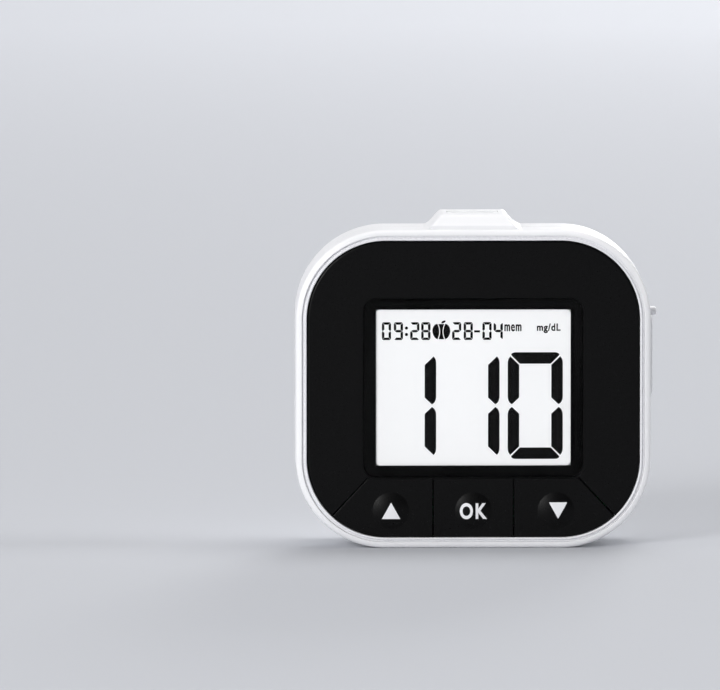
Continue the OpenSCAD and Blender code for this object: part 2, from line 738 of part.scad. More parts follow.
// A conical spring along X, from x0 at its wide foot to x1 at its narrow tip.
module coil_spring(x0, x1, z, foot_r, tip_r, wire_r) {
    turns = 3.5;
    steps = 63;
    sides = 8;
    points = [for (i = [0:steps], j = [0:sides - 1])
        let (a = 360 * turns * i / steps, b = 360 * j / sides, t = i / steps,
            r = foot_r + (tip_r - foot_r) * t + wire_r * cos(b))
        [x0 + (x1 - x0) * t + wire_r * sin(b), cell_y + r * cos(a), z + r * sin(a)]];
    faces = concat(
        [[for (j = [0:sides - 1]) j], [for (j = [sides - 1:-1:0]) steps * sides + j]],
        [for (i = [0:steps - 1], j = [0:sides - 1]) let (k = (j + 1) % sides)
            [i * sides + j, (i + 1) * sides + j, (i + 1) * sides + k, i * sides + k]]
    );
    polyhedron(points, faces, convexity = 8);
}

module battery_spring(i, s) color("silver") {
    wire_r = 0.35;
    foot = s * (bay_half_w - plate_t - wire_r - 0.02);
    tip = s * (bay_half_w - plate_t - spring_l + wire_r + 0.05);
    coil_spring(foot, tip, cell_z + i * cell_pitch, 3.7, 2.3, wire_r);
}

module battery_spring_upper() battery_spring(1, 1);
module battery_spring_lower() battery_spring(0, -1);

// Contact plate on the end wall of the bay with a leg down to the board.
module contact_plate(s, z0, z1, leg_zs) {
    x = s > 0 ? bay_half_w - plate_t : -bay_half_w;
    translate([x, bay_floor_y + 0.05, z0]) cube([plate_t, 2 * cell_r - 1.5, z1 - z0]);
    for (z = leg_zs) translate([x, board_back_y, z - 1.4]) cube([plate_t, bay_floor_y + 0.1 - board_back_y, 2.8]);
}

module battery_terminals() color("silver") for (i = [0, 1])
    contact_plate(-1, cell_z + i * cell_pitch - 4.4, cell_z + i * cell_pitch + 4.4, [cell_z + i * cell_pitch]);

module battery_bridge() color("silver")
    contact_plate(1, cell_z - 4.4, cell_z + cell_pitch + 4.4, [cell_z, cell_z + cell_pitch]);

// ---------------------------------------------------------------- fasteners

// A screw that points to -Y, its head on depth y.
module screw(x, z, y, r, l, head_r, head_h) difference() {
    union() {
        y_bar(x, z, r, y - l, y + eps);
        y_bar(x, z, head_r, y, y + head_h);
    }
    for (a = [0, 90]) translate([x, y + head_h, z]) rotate([0, a, 0]) cube([0.45, head_h, head_r * 1.1], center = true);
}

module housing_screws() color("gray") for (at = screw_at, s = [-1, 1])
    screw(s * at[0], at[1], screw_seat_y, screw_r, screw_l, screw_head_r, screw_head_h);

module board_screws() color("gray") for (at = board_screw_at, s = [-1, 1])
    screw(s * at[0], at[1], board_back_y, board_screw_r, board_screw_l, board_head_r, board_head_h);

// ---------------------------------------------------------------- nodes

front_housing();
rear_housing();
front_bezel();
front_panel();
display_lens();
display_mask();
up_key();
ok_key();
down_key();
up_switch_plunger();
ok_switch_plunger();
down_switch_plunger();
tact_switches();
lcd_glass();
lcd_reflector();
lcd_frame();
contact_strip_upper();
contact_strip_lower();
main_board();
microcontroller();
board_components();
strip_connector();
strip_contacts();
port_insert();
buzzer();
data_port();
data_port_core();
port_cover();
battery_door();
door_latch();
battery_upper();
battery_lower();
battery_spring_upper();
battery_spring_lower();
battery_terminals();
battery_bridge();
housing_screws();
board_screws();
blank_label();
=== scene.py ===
"""Blood glucose meter: white two-part housing, black face with three keys, and a large display.

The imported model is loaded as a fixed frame, the pieces that show are modelled over it, and every
piece and carried-over part gets its material. X runs to the right, the face looks towards -Y and
the meter stands on Z = 0. Pieces are modelled in millimetres and brought to metres when finished.
"""

import json
import math
from types import SimpleNamespace

import bmesh
import bpy
from bpy.props import FloatProperty, PointerProperty, StringProperty
from bpy.types import Operator, Panel, PropertyGroup
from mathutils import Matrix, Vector

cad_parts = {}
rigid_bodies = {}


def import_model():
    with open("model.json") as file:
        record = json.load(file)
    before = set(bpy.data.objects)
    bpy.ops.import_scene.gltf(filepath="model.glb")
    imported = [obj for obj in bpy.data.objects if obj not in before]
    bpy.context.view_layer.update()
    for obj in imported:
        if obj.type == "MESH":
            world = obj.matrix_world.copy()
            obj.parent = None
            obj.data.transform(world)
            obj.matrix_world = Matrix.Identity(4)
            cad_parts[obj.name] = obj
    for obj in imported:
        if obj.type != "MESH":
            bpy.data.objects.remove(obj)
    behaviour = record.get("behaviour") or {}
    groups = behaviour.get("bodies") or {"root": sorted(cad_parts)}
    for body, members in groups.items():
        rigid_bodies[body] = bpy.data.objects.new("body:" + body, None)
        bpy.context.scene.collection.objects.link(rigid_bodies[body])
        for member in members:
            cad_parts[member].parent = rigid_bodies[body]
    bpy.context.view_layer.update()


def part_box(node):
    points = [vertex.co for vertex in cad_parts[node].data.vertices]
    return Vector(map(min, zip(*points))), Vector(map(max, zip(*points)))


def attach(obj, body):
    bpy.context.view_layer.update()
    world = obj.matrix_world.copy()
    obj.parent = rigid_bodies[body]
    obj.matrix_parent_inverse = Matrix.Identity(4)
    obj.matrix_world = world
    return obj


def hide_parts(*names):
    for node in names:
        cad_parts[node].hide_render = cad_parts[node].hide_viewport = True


bl_info = {
    "name": "Blood Glucose Meter",
    "version": (1, 0, 0),
    "blender": (4, 5, 0),
    "location": "View3D > Sidebar > Meter",
    "description": "Builds a pocket blood glucose meter and its studio",
    "category": "Add Mesh",
}

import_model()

MM = 0.001


def node_box(node):
    """Lowest and highest corner of a node, in millimetres."""
    low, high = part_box(node)
    return Vector(low) / MM, Vector(high) / MM


# Places that the frame gives, in millimetres.
REAR_LOW, REAR_HIGH = node_box("rear_housing")
WIDTH = REAR_HIGH.x - REAR_LOW.x
SIDE_X = WIDTH / 2
BACK_Y = REAR_HIGH.y
FRONT_Y = node_box("front_housing")[0].y
PORT_TOP = REAR_HIGH.z
PANEL_Y = node_box("front_panel")[0].y
LENS_LOW, LENS_HIGH = node_box("display_lens")
LENS_Z = (LENS_LOW.z + LENS_HIGH.z) / 2
LENS_W, LENS_H = LENS_HIGH.x - LENS_LOW.x, LENS_HIGH.z - LENS_LOW.z
GLASS_LOW, GLASS_HIGH = node_box("lcd_glass")
GLASS_Y = GLASS_LOW.y
SOCKET_LOW, SOCKET_HIGH = node_box("data_port")
SOCKET_Y = (SOCKET_LOW.y + SOCKET_HIGH.y) / 2
SOCKET_Z = (SOCKET_LOW.z + SOCKET_HIGH.z) / 2
STRIP_Y = sum(corner.y for corner in node_box("port_insert")) / 2
DOOR_HIGH = node_box("battery_door")[1]
DOOR_TOP = DOOR_HIGH.z
CELL_Y = sum(corner.y for corner in node_box("battery_lower")) / 2
CELL_ZS = {
    name: sum(corner.z for corner in node_box(name)) / 2
    for name in ("battery_lower", "battery_upper")
}

# Sizes and places that no box of the frame gives, in millimetres. The left half of the meter
# mirrors the right one, so half widths and the screws' places are given once.
FRONT_DEPTH = 9.0
HUMP_H = 2.8
PANEL_T = 1.4
WINDOW_BORDERS = (4.9, 4.5)
KEY_TOP = 13.6
OK_HALF = 7.9
DOME_XS = {"up": -16.2, "ok": 0.0, "down": 16.2}
DOME_Z = 7.4
HINGE_Y, HINGE_Z = 10.2, 9.6
DOOR_LUG = 1.1
DOOR_BARREL = 1.3
DOOR_T = 1.5
COVER_HINGE_X, COVER_HINGE_Z = 34.1, 30.0
COVER_HALF, COVER_H = 3.5, 15.3
COVER_BARREL = 1.1
MOVING_GAP = 0.15
FILM_PROUD = 0.65
# How far welded pieces and cutters reach into what they meet, so that no two faces coincide.
LAP = 0.1
SCREWS = ((26.0, 47.5), (29.0, 20.0))

SPLIT_Y = FRONT_Y + FRONT_DEPTH
HEIGHT = PORT_TOP - HUMP_H
MID_Z = HEIGHT / 2
PANEL_BACK_Y = PANEL_Y + PANEL_T
WINDOW_W, WINDOW_H = LENS_W - WINDOW_BORDERS[0], LENS_H - WINDOW_BORDERS[1]
DOOR_HALF = DOOR_HIGH.x - DOOR_LUG


# ---------------------------------------------------------------------------- sizes and colours


class MeterSizes(PropertyGroup):
    corner_radius: FloatProperty(
        name="Corner radius",
        description="Radius of the housing's corners seen from the front",
        default=17.6 * MM,
        unit="LENGTH",
    )
    lip_radius: FloatProperty(
        name="Lip radius",
        description="Rounding of the housing's front rim",
        default=1.1 * MM,
        unit="LENGTH",
    )
    lip_width: FloatProperty(
        name="Lip width",
        description="Width of the housing's front rim, up to the groove",
        default=1.22 * MM,
        unit="LENGTH",
    )
    back_radius: FloatProperty(
        name="Back radius",
        description="Rounding of the back edge",
        default=6 * MM,
        unit="LENGTH",
    )
    wall: FloatProperty(
        name="Wall",
        description="Wall of both housing halves",
        default=1.6 * MM,
        unit="LENGTH",
    )
    groove: FloatProperty(
        name="Groove",
        description="Gap between the housing's rim and the bezel",
        default=0.42 * MM,
        unit="LENGTH",
    )
    ring_width: FloatProperty(
        name="Ring width",
        description="White ring seen round the black face",
        default=2.1 * MM,
        unit="LENGTH",
    )
    key_gap: FloatProperty(
        name="Key gap",
        description="Gap round each key",
        default=0.3 * MM,
        unit="LENGTH",
    )
    dome_radius: FloatProperty(
        name="Dome radius",
        description="Radius of the domes on the keys",
        default=3.6 * MM,
        unit="LENGTH",
    )
    dome_height: FloatProperty(
        name="Dome height",
        description="Height of the domes on the keys",
        default=0.42 * MM,
        unit="LENGTH",
    )


class MeterColours(PropertyGroup):
    shell: StringProperty(name="Shell", description="White ABS, as sRGB hex", default="#F1F1F3")
    face: StringProperty(name="Face", description="Black ABS, as on the keys", default="#060607")
    ink: StringProperty(name="Ink", description="White ink of the key symbols", default="#F4F4F6")
    ground: StringProperty(name="Ground", description="Ground of the display", default="#FBFBFB")
    segment: StringProperty(name="Segment", description="Dark display segments", default="#080808")
    stage: StringProperty(name="Stage", description="Floor and backdrop", default="#C7C9CE")


def in_mm(group):
    """The lengths of a property group, in millimetres."""
    return SimpleNamespace(**{name: getattr(group, name) / MM for name in group.__annotations__})


# ---------------------------------------------------------------------------- materials


def linear(hex_colour, alpha=1.0):
    """sRGB hex, such as "#171717", to a linear RGBA colour."""
    channels = []
    for start in (1, 3, 5):
        level = int(hex_colour[start : start + 2], 16) / 255
        channels.append(level / 12.92 if level <= 0.04045 else ((level + 0.055) / 1.055) ** 2.4)
    return (*channels, alpha)


def add_node(material, kind, settings=None, links=None):
    """Adds a node.

    Settings name its properties or sockets, and links give a socket another node's output.
    """
    node = material.node_tree.nodes.new(kind)
    for name, value in (settings or {}).items():
        if isinstance(name, str) and hasattr(node, name):
            setattr(node, name, value)
        else:
            node.inputs[name].default_value = value
    for name, (other, output) in (links or {}).items():
        material.node_tree.links.new(other.outputs[output], node.inputs[name])
    return node


def new_material(name, sockets):
    """A material with one Principled shader whose sockets are set; returns both."""
    material = bpy.data.materials.new(name)
    material.use_nodes = True
    shader = material.node_tree.nodes["Principled BSDF"]
    for socket, value in sockets.items():
        shader.inputs[socket].default_value = value
    return material, shader


def feed(material, node, output, shader, socket):
    material.node_tree.links.new(node.outputs[output], shader.inputs[socket])


def moulded(name, base, light, rough, grain_mm, depth_mm, mottle_mm=9.0, sheen=0.5):
    """Injection-moulded plastic: a spark-eroded grain from the tool, and a faint flow mottle.

    The mottle runs from base to light. Sheen is the strength of its reflection, where 0.5 is that
    of plain plastic.
    """
    material, shader = new_material(
        name,
        {"Base Color": linear(base), "IOR": 1.5, "Roughness": rough, "Specular IOR Level": sheen},
    )
    place = add_node(material, "ShaderNodeTexCoord")
    mottle = add_node(
        material,
        "ShaderNodeTexNoise",
        {"Scale": 1 / (mottle_mm * MM), "Detail": 3.0, "Roughness": 0.55},
        {"Vector": (place, "Object")},
    )
    colour = add_node(
        material,
        "ShaderNodeMix",
        {"data_type": "RGBA", 6: linear(base), 7: linear(light)},
        {0: (mottle, "Fac")},
    )
    feed(material, colour, 2, shader, "Base Color")
    grain = add_node(
        material,
        "ShaderNodeTexNoise",
        {"Scale": 1 / (grain_mm * MM), "Detail": 2.0, "Roughness": 0.6},
        {"Vector": (place, "Object")},
    )
    gloss = add_node(
        material,
        "ShaderNodeMapRange",
        {"From Min": 0.3, "From Max": 0.7, "To Min": rough - 0.04, "To Max": rough + 0.05},
        {"Value": (grain, "Fac")},
    )
    feed(material, gloss, "Result", shader, "Roughness")
    emboss(material, shader, grain, "Fac", depth_mm)
    return material


def emboss(material, shader, pattern, output, depth_mm):
    """Raises a pattern on the surface by a depth in millimetres."""
    bump = add_node(
        material, "ShaderNodeBump", {"Distance": depth_mm * MM}, {"Height": (pattern, output)}
    )
    feed(material, bump, "Normal", shader, "Normal")


# Each finish by its short name, filled by make_materials.
MATERIALS = {}


def make_materials(colours):
    """One material for each real finish."""
    # White ABS, fine spark-eroded grain: a soft satin white whose highlights spread wide.
    MATERIALS["white_abs"] = moulded("satin_white_abs", colours.shell, "#F6F6F7", 0.38, 0.28, 0.004)
    # The bezel is moulded in a polished tool: the same white with tighter highlights.
    MATERIALS["bezel_abs"] = moulded("smooth_white_abs", "#EDEDF0", "#F3F3F5", 0.28, 0.5, 0.002)
    # The cover is a separate moulding, a shade greyer and more matte than the housing.
    MATERIALS["cover_abs"] = moulded("matte_white_abs", "#ECECEF", "#F2F2F4", 0.46, 0.25, 0.005)
    # Black ABS, matte grain: near black that lifts to dark grey where the light grazes it.
    MATERIALS["face_abs"] = moulded(
        "matte_black_abs", colours.face, "#070707", 0.3, 0.25, 0.003, sheen=0.12
    )
    # Pad-printed white ink: flat, a little uneven, duller than the key under it.
    MATERIALS["ink"] = moulded("white_pad_print", colours.ink, "#EEEEF0", 0.55, 0.12, 0.002)
    MATERIALS["acrylic"] = coated_acrylic()
    # Screen print on the back of the acrylic: the deepest black of the face.
    MATERIALS["mask"] = moulded(
        "black_screen_print", "#020202", "#040404", 0.22, 0.4, 0.001, sheen=0.06
    )
    # Polariser over the display's reflector: a flat near white, lifted by a weak emission that is
    # painted light.
    ground = moulded(
        "display_polariser", colours.ground, "#F9FAFA", 0.6, 0.2, 0.001, mottle_mm=14.0, sheen=0.3
    )
    # Painted light: the emission brightens the polariser and thins the shade that the window's
    # edges cast on it.
    painted_glow = ground.node_tree.nodes["Principled BSDF"]
    painted_glow.inputs["Emission Color"].default_value = linear(colours.ground)
    painted_glow.inputs["Emission Strength"].default_value = 0.08
    MATERIALS["ground"] = ground
    # Edge of the display cell outside the polariser: bare glass over white, a shade greyer.
    MATERIALS["cell_edge"] = moulded("display_glass_edge", "#D5D6DA", "#DCDDE0", 0.3, 0.3, 0.001)
    # Switched-on liquid crystal: a flat soft black.
    MATERIALS["segment"] = moulded(
        "display_segment", colours.segment, "#0A0A0A", 0.5, 0.2, 0.001, mottle_mm=4.0, sheen=0.03
    )
    # White acetal of the strip guide: dense, smooth and a little waxy.
    MATERIALS["acetal"] = moulded("white_acetal", "#EEEEF0", "#F4F4F4", 0.35, 0.4, 0.002)
    # Natural nylon: creamy, slightly waxy, with faint clouds.
    MATERIALS["nylon"] = moulded(
        "natural_nylon", "#EFEBDD", "#E6E0CF", 0.42, 0.4, 0.004, mottle_mm=5.0
    )
    # Glass-filled black plastic of the switches: dull, with a coarse mottle.
    MATERIALS["switch_body"] = moulded(
        "glass_filled_nylon", "#2B2C2E", "#393A3C", 0.55, 0.15, 0.006, mottle_mm=1.2
    )
    # Diffuse white reflector film behind the display.
    MATERIALS["reflector"] = moulded(
        "reflector_film", "#F2F3F3", "#E6E8E8", 0.7, 0.2, 0.001, mottle_mm=6.0
    )
    # Natural polycarbonate frame of the display.
    MATERIALS["frame_plastic"] = moulded(
        "milky_polycarbonate", "#DFE1DE", "#D2D5D2", 0.4, 0.4, 0.003, mottle_mm=8.0
    )
    MATERIALS["contact_rubber"] = layered_rubber()
    MATERIALS["solder_mask"] = circuit_board()
    # Moulding compound of chips: charcoal with fine filler specks.
    MATERIALS["chip_epoxy"] = moulded(
        "moulding_compound", "#1D1E20", "#2A2B2D", 0.6, 0.1, 0.006, mottle_mm=0.5
    )
    # Fired ceramic of small capacitors: tan, with uneven clouds.
    MATERIALS["ceramic"] = moulded(
        "fired_ceramic", "#A98B66", "#8D7250", 0.5, 0.3, 0.003, mottle_mm=1.5
    )
    MATERIALS["gold_plate"] = metal("gold_flash", "#E4BC6A", 0.24, 0.08, (1, 0, 0))
    MATERIALS["plated_steel"] = metal("bright_nickel_plate", "#C9C8C4", 0.26, 0.12, (0, 0, 1))
    MATERIALS["zinc_screw"] = metal("zinc_plate", "#B9BBBE", 0.38, 0.2, (0, 1, 0))
    MATERIALS["cell_jacket"] = cell_jacket()
    # Matte polypropylene label film: a bare white that is a touch cooler than the housing.
    MATERIALS["label_film"] = moulded(
        "label_film", "#E9EAED", "#F0F1F3", 0.6, 0.15, 0.002, mottle_mm=3.0
    )


def coated_acrylic():
    """Acrylic sheet with an anti-glare coat: clear, with a weak and tight reflection."""
    material, shader = new_material(
        "coated_acrylic", {"Base Color": (1, 1, 1, 1), "Metallic": 1.0, "Roughness": 0.06}
    )
    # The coat brings the reflection of bare acrylic, 4 percent, down to a third of one, and it
    # rises with the fifth power towards a glancing angle, the same on both sides of the sheet.
    slant = add_node(material, "ShaderNodeLayerWeight", {"Blend": 0.5})
    rise = add_node(
        material, "ShaderNodeMath", {"operation": "POWER", 1: 5.0}, {0: (slant, "Facing")}
    )
    gleam = add_node(
        material,
        "ShaderNodeMapRange",
        {"From Min": 0.0, "From Max": 1.0, "To Min": 0.0032, "To Max": 0.8},
        {"Value": (rise, "Value")},
    )
    place = add_node(material, "ShaderNodeTexCoord")
    haze = add_node(
        material,
        "ShaderNodeTexNoise",
        {"Scale": 1 / (6 * MM), "Detail": 3.0},
        {"Vector": (place, "Object")},
    )
    # A breath of haze, as a handled lens has.
    gloss = add_node(
        material,
        "ShaderNodeMapRange",
        {"From Min": 0.3, "From Max": 0.7, "To Min": 0.04, "To Max": 0.12},
        {"Value": (haze, "Fac")},
    )
    feed(material, gloss, "Result", shader, "Roughness")
    feed(material, gleam, "Result", shader, "Alpha")
    return material


def metal(name, colour, rough, line_mm, drawn):
    """Plated metal: drawn lines along one axis that vary its gloss, under a bright even plating."""
    material, shader = new_material(
        name, {"Base Color": linear(colour), "Metallic": 1.0, "Roughness": rough}
    )
    place = add_node(material, "ShaderNodeTexCoord")
    # Lines are long along the drawing direction and as narrow as line_mm across it.
    stretch = add_node(
        material,
        "ShaderNodeMapping",
        {"Scale": tuple((0.04 if a else 1.0) / (line_mm * MM) for a in drawn)},
        {"Vector": (place, "Object")},
    )
    lines = add_node(
        material,
        "ShaderNodeTexNoise",
        {"Scale": 1.0, "Detail": 2.0},
        {"Vector": (stretch, "Vector")},
    )
    gloss = add_node(
        material,
        "ShaderNodeMapRange",
        {"From Min": 0.3, "From Max": 0.7, "To Min": rough - 0.08, "To Max": rough + 0.1},
        {"Value": (lines, "Fac")},
    )
    feed(material, gloss, "Result", shader, "Roughness")
    emboss(material, shader, lines, "Fac", 0.003)
    return material


def layered_rubber():
    """Contact strip of a display: dull silicone in thin layers of carbon black and plain grey."""
    dark, light = "#1B1C1E", "#8F8D88"
    # A wave texture of scale 1 repeats every 0.314 units, and the layers repeat every 0.36 mm.
    wave, layer_mm = 0.314, 0.36
    material, shader = new_material(
        "elastomer_strip", {"Base Color": linear(dark), "Roughness": 0.75}
    )
    place = add_node(material, "ShaderNodeTexCoord")
    layers = add_node(
        material,
        "ShaderNodeTexWave",
        {"Scale": wave / (layer_mm * MM), "Distortion": 0.0, "bands_direction": "X"},
        {"Vector": (place, "Object")},
    )
    colour = add_node(
        material,
        "ShaderNodeMix",
        {"data_type": "RGBA", 6: linear(dark), 7: linear(light)},
        {0: (layers, "Fac")},
    )
    feed(material, colour, 2, shader, "Base Color")
    return material


def circuit_board():
    """Solder mask over copper: deep green gloss in which the traces show as paler raised lines."""
    material, shader = new_material(
        "green_solder_mask", {"Base Color": linear("#0F5A36"), "Roughness": 0.3}
    )
    place = add_node(material, "ShaderNodeTexCoord")
    # Traces about 0.2 mm wide, in long offset loops on the flat of the board.
    traces = add_node(
        material,
        "ShaderNodeTexBrick",
        {
            "Scale": 1 / (9 * MM),
            "Mortar Size": 0.02,
            "Mortar Smooth": 0.1,
            "Brick Width": 0.62,
            "Row Height": 0.21,
            "Color1": linear("#0E5433"),
            "Color2": linear("#105F39"),
            "Mortar": linear("#2C8A5A"),
        },
    )
    turn = add_node(
        material,
        "ShaderNodeMapping",
        {"Rotation": (math.radians(90), 0.0, 0.0)},
        {"Vector": (place, "Object")},
    )
    material.node_tree.links.new(turn.outputs["Vector"], traces.inputs["Vector"])
    feed(material, traces, "Color", shader, "Base Color")
    emboss(material, shader, traces, "Fac", 0.03)
    return material


def cell_jacket():
    """Shrink film on a cell: glossy dark blue-grey, faintly wrinkled so its highlights waver."""
    material, shader = new_material(
        "cell_shrink_film", {"Base Color": linear("#39424F"), "Roughness": 0.25}
    )
    place = add_node(material, "ShaderNodeTexCoord")
    wrinkle = add_node(
        material,
        "ShaderNodeTexNoise",
        {"Scale": 1 / (2.5 * MM), "Detail": 2.0},
        {"Vector": (place, "Object")},
    )
    tone = add_node(
        material,
        "ShaderNodeMix",
        {"data_type": "RGBA", 6: linear("#353E4A"), 7: linear("#3F4957")},
        {0: (wrinkle, "Fac")},
    )
    feed(material, tone, 2, shader, "Base Color")
    emboss(material, shader, wrinkle, "Fac", 0.02)
    return material


def stage_material(colours):
    """Seamless studio paper: one pale even tone, its fibres too fine to see."""
    return new_material(
        "studio_paper",
        {"Base Color": linear(colours.stage), "Roughness": 0.9, "Specular IOR Level": 0.2},
    )[0]


# ---------------------------------------------------------------------------- modelling helpers


def deselect_all():
    for each in bpy.context.view_layer.objects:
        each.select_set(False)


def activate(piece):
    deselect_all()
    piece.select_set(True)
    bpy.context.view_layer.objects.active = piece


def settle(piece):
    """Writes the object's place, turn and scale into its mesh."""
    activate(piece)
    bpy.ops.object.transform_apply(location=True, rotation=True, scale=True)
    return piece


def block(low, high):
    """A box between two corners, the start of a piece or of a cutter.

    A cutter reaches well past the piece on the sides where its place doesn't matter.
    """
    deselect_all()
    low, high = Vector(low), Vector(high)
    bpy.ops.mesh.primitive_cube_add(size=1, location=(low + high) / 2, scale=high - low)
    return settle(bpy.context.object)


def bar(start, end, radius, sides=48):
    """A round bar from start to end."""
    deselect_all()
    start, end = Vector(start), Vector(end)
    bpy.ops.mesh.primitive_cylinder_add(
        vertices=sides,
        radius=radius,
        depth=(end - start).length,
        location=(start + end) / 2,
        rotation=(end - start).to_track_quat("Z", "Y").to_euler(),
    )
    return settle(bpy.context.object)


def edit(piece):
    activate(piece)
    bpy.ops.object.mode_set(mode="EDIT")


def leave():
    bpy.ops.object.mode_set(mode="OBJECT")


def select(piece, kind, test):
    """In edit mode, selects the edges or faces that pass a test on their place and normal."""
    bpy.ops.mesh.select_mode(type={"edges": "EDGE", "faces": "FACE"}[kind])
    bpy.ops.mesh.select_all(action="DESELECT")
    mesh = bmesh.from_edit_mesh(piece.data)
    for part in getattr(mesh, kind):
        if test(part):
            part.select_set(True)
    mesh.select_flush_mode()
    bmesh.update_edit_mesh(piece.data)


def round_edges(piece, test, radius, segments=3):
    edit(piece)
    select(piece, "edges", test)
    bpy.ops.mesh.bevel(
        offset=radius, segments=segments, profile=0.5, affect="EDGES", clamp_overlap=False
    )
    leave()


def push_in(piece, test, inset, move):
    """Insets the faces that pass the test, then extrudes them along the vector move."""
    edit(piece)
    select(piece, "faces", test)
    if inset:
        bpy.ops.mesh.inset(thickness=inset, use_boundary=True, use_even_offset=True)
    bpy.ops.mesh.extrude_region_move(TRANSFORM_OT_translate={"value": move})
    leave()


def trim(piece, point, normal):
    """Cuts off what lies on the side that normal points to, and closes the cut."""
    edit(piece)
    bpy.ops.mesh.select_all(action="SELECT")
    bpy.ops.mesh.bisect(
        plane_co=point, plane_no=Vector(normal).normalized(), use_fill=True, clear_outer=True
    )
    leave()


def modify(piece, kind, **settings):
    """Adds a modifier and applies it."""
    activate(piece)
    modifier = piece.modifiers.new(kind.title(), kind)
    for name, value in settings.items():
        setattr(modifier, name, value)
    bpy.ops.object.modifier_apply(modifier=modifier.name)


def boolean(piece, operation, others):
    for other in others:
        modify(piece, "BOOLEAN", operation=operation, object=other, solver="EXACT")
        bpy.data.objects.remove(other, do_unlink=True)
    return piece


def cut(piece, *others):
    return boolean(piece, "DIFFERENCE", others)


def weld(piece, *others):
    return boolean(piece, "UNION", others)


def keep(piece, *others):
    return boolean(piece, "INTERSECT", others)


def copy_of(piece):
    """A copy with a mesh of its own."""
    activate(piece)
    bpy.ops.object.duplicate(linked=False)
    return bpy.context.object


def joined(pieces):
    """Pieces that don't touch, as one object."""
    activate(pieces[0])
    for each in pieces[1:]:
        each.select_set(True)
    if len(pieces) > 1:
        bpy.ops.object.join()
    return bpy.context.object


def along(axis):
    """A test for the edges that run along one axis."""

    def test(edge):
        a, b = edge.verts
        return abs((a.co - b.co).normalized()[axis]) > 0.999

    return test


def facing(axis, sign):
    """A test for the faces that look along one axis, up it or down it."""

    def test(face):
        return face.normal[axis] * sign > 0.999

    return test


def in_plane(edge, axis, value):
    return all(abs(v.co[axis] - value) < 1e-3 for v in edge.verts)


def beside_upright(edge):
    """True for an edge that a wall along the depth meets."""
    return any(abs(face.normal.y) < 0.1 for face in edge.link_faces)


def middle_z(edge):
    return (edge.verts[0].co + edge.verts[1].co).z / 2


def slab(width, height, radius, front, back, centre=(0.0, None), sides=24):
    """A slab with round corners seen from the front, between two depths."""
    x, z = centre[0], MID_Z if centre[1] is None else centre[1]
    piece = block((x - width / 2, front, z - height / 2), (x + width / 2, back, z + height / 2))
    round_edges(piece, along(1), radius, sides)
    return piece


def outline_slab(inset, sizes, front, back, sides=28):
    """A slab of the meter's own outline, moved in by inset."""
    return slab(
        WIDTH - 2 * inset, HEIGHT - 2 * inset, sizes.corner_radius - inset, front, back, sides=sides
    )


def finish(piece, name, body, material, replaces=(), angle=32):
    """Brings a piece to metres, smooths it, and gives it its name, material and body."""
    piece.scale = (MM, MM, MM)
    settle(piece)
    bpy.ops.object.shade_smooth_by_angle(angle=math.radians(angle))
    modify(piece, "WEIGHTED_NORMAL", mode="FACE_AREA", keep_sharp=True)
    piece.name = piece.data.name = name
    piece.data.materials.clear()
    piece.data.materials.append(MATERIALS[material])
    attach(piece, body)
    if replaces:
        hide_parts(*replaces)
    return piece


# ---------------------------------------------------------------------------- housing


def soft_least(values, soft):
    """The least of some heights, with the creases between them rounded."""
    least = min(values)
    return least - soft * math.log(sum(math.exp((least - v) / soft) for v in values))


def hump_rise(x, y):
    """Height of the strip port's hump above the top of the housing."""
    top_half, flank_slope = 6.4, math.tan(math.radians(50))
    front_foot, front_step, front_slope = 0.9, 0.6, 1.1
    back_foot, back_slope = 3.4, 1.05
    crest, crest_crease, foot_crease = 2.86, 0.16, 0.42
    flank = (top_half - abs(x)) * flank_slope + HUMP_H
    front = (y - FRONT_Y - front_foot) * front_slope + front_step
    back = (BACK_Y - back_foot - y) * back_slope
    rise = soft_least((crest, flank, front, back), crest_crease)
    if rise >= 8 * foot_crease:
        return rise
    return foot_crease * math.log1p(math.exp(rise / foot_crease))


def top_surface(y, sizes):
    """Height of the housing's top at depth y, along the straight part of the top."""
    for radius, over in (
        (sizes.back_radius, y - BACK_Y + sizes.back_radius),
        (sizes.lip_radius, FRONT_Y + sizes.lip_radius - y),
    ):
        if over > 0:
            return HEIGHT - radius + math.sqrt(max(radius * radius - over * over, 0.0))
    return HEIGHT


def make_hump(sizes):
    """The strip port's hump: a grid laid over the top of the housing, raised and closed below."""
    wide, deep, middle_y = 26, 20.4, -0.3
    sunk, drop, foot = 0.03, 8, HEIGHT - 3.2
    deselect_all()
    bpy.ops.mesh.primitive_grid_add(
        x_subdivisions=110, y_subdivisions=90, size=1, location=(0, middle_y, HEIGHT)
    )
    hump = bpy.context.object
    hump.scale = (wide, deep, 1)
    settle(hump)
    # Away from the hump the grid lies just under the housing's surface, so only the hump shows.
    for vertex in hump.data.vertices:
        x, y, _ = vertex.co
        vertex.co.z = top_surface(y, sizes) + hump_rise(x, y) - sunk
    edit(hump)
    bpy.ops.mesh.select_all(action="SELECT")
    bpy.ops.mesh.extrude_region_move(TRANSFORM_OT_translate={"value": (0, 0, -drop)})
    leave()
    for vertex in hump.data.vertices:
        if vertex.co.z < HEIGHT - drop / 2:
            vertex.co.z = foot
    edit(hump)
    bpy.ops.mesh.select_all(action="SELECT")
    bpy.ops.mesh.normals_make_consistent(inside=False)
    leave()
    return hump


def key_field(inset, front, back):
    """The row of keys seen from the front, a block with slanted ends that an inset shrinks."""
    lean, slot_half, corner_in = math.radians(43), 0.15, 0.75
    top = KEY_TOP + slot_half - inset
    half = LENS_W / 2 - corner_in - inset / math.cos(lean) + inset * math.tan(lean)
    field = block((-40, front, -2), (40, back, top))
    for side in (-1, 1):
        trim(field, (side * half, 0, top), (side * math.cos(lean), 0, math.sin(lean)))
    return field


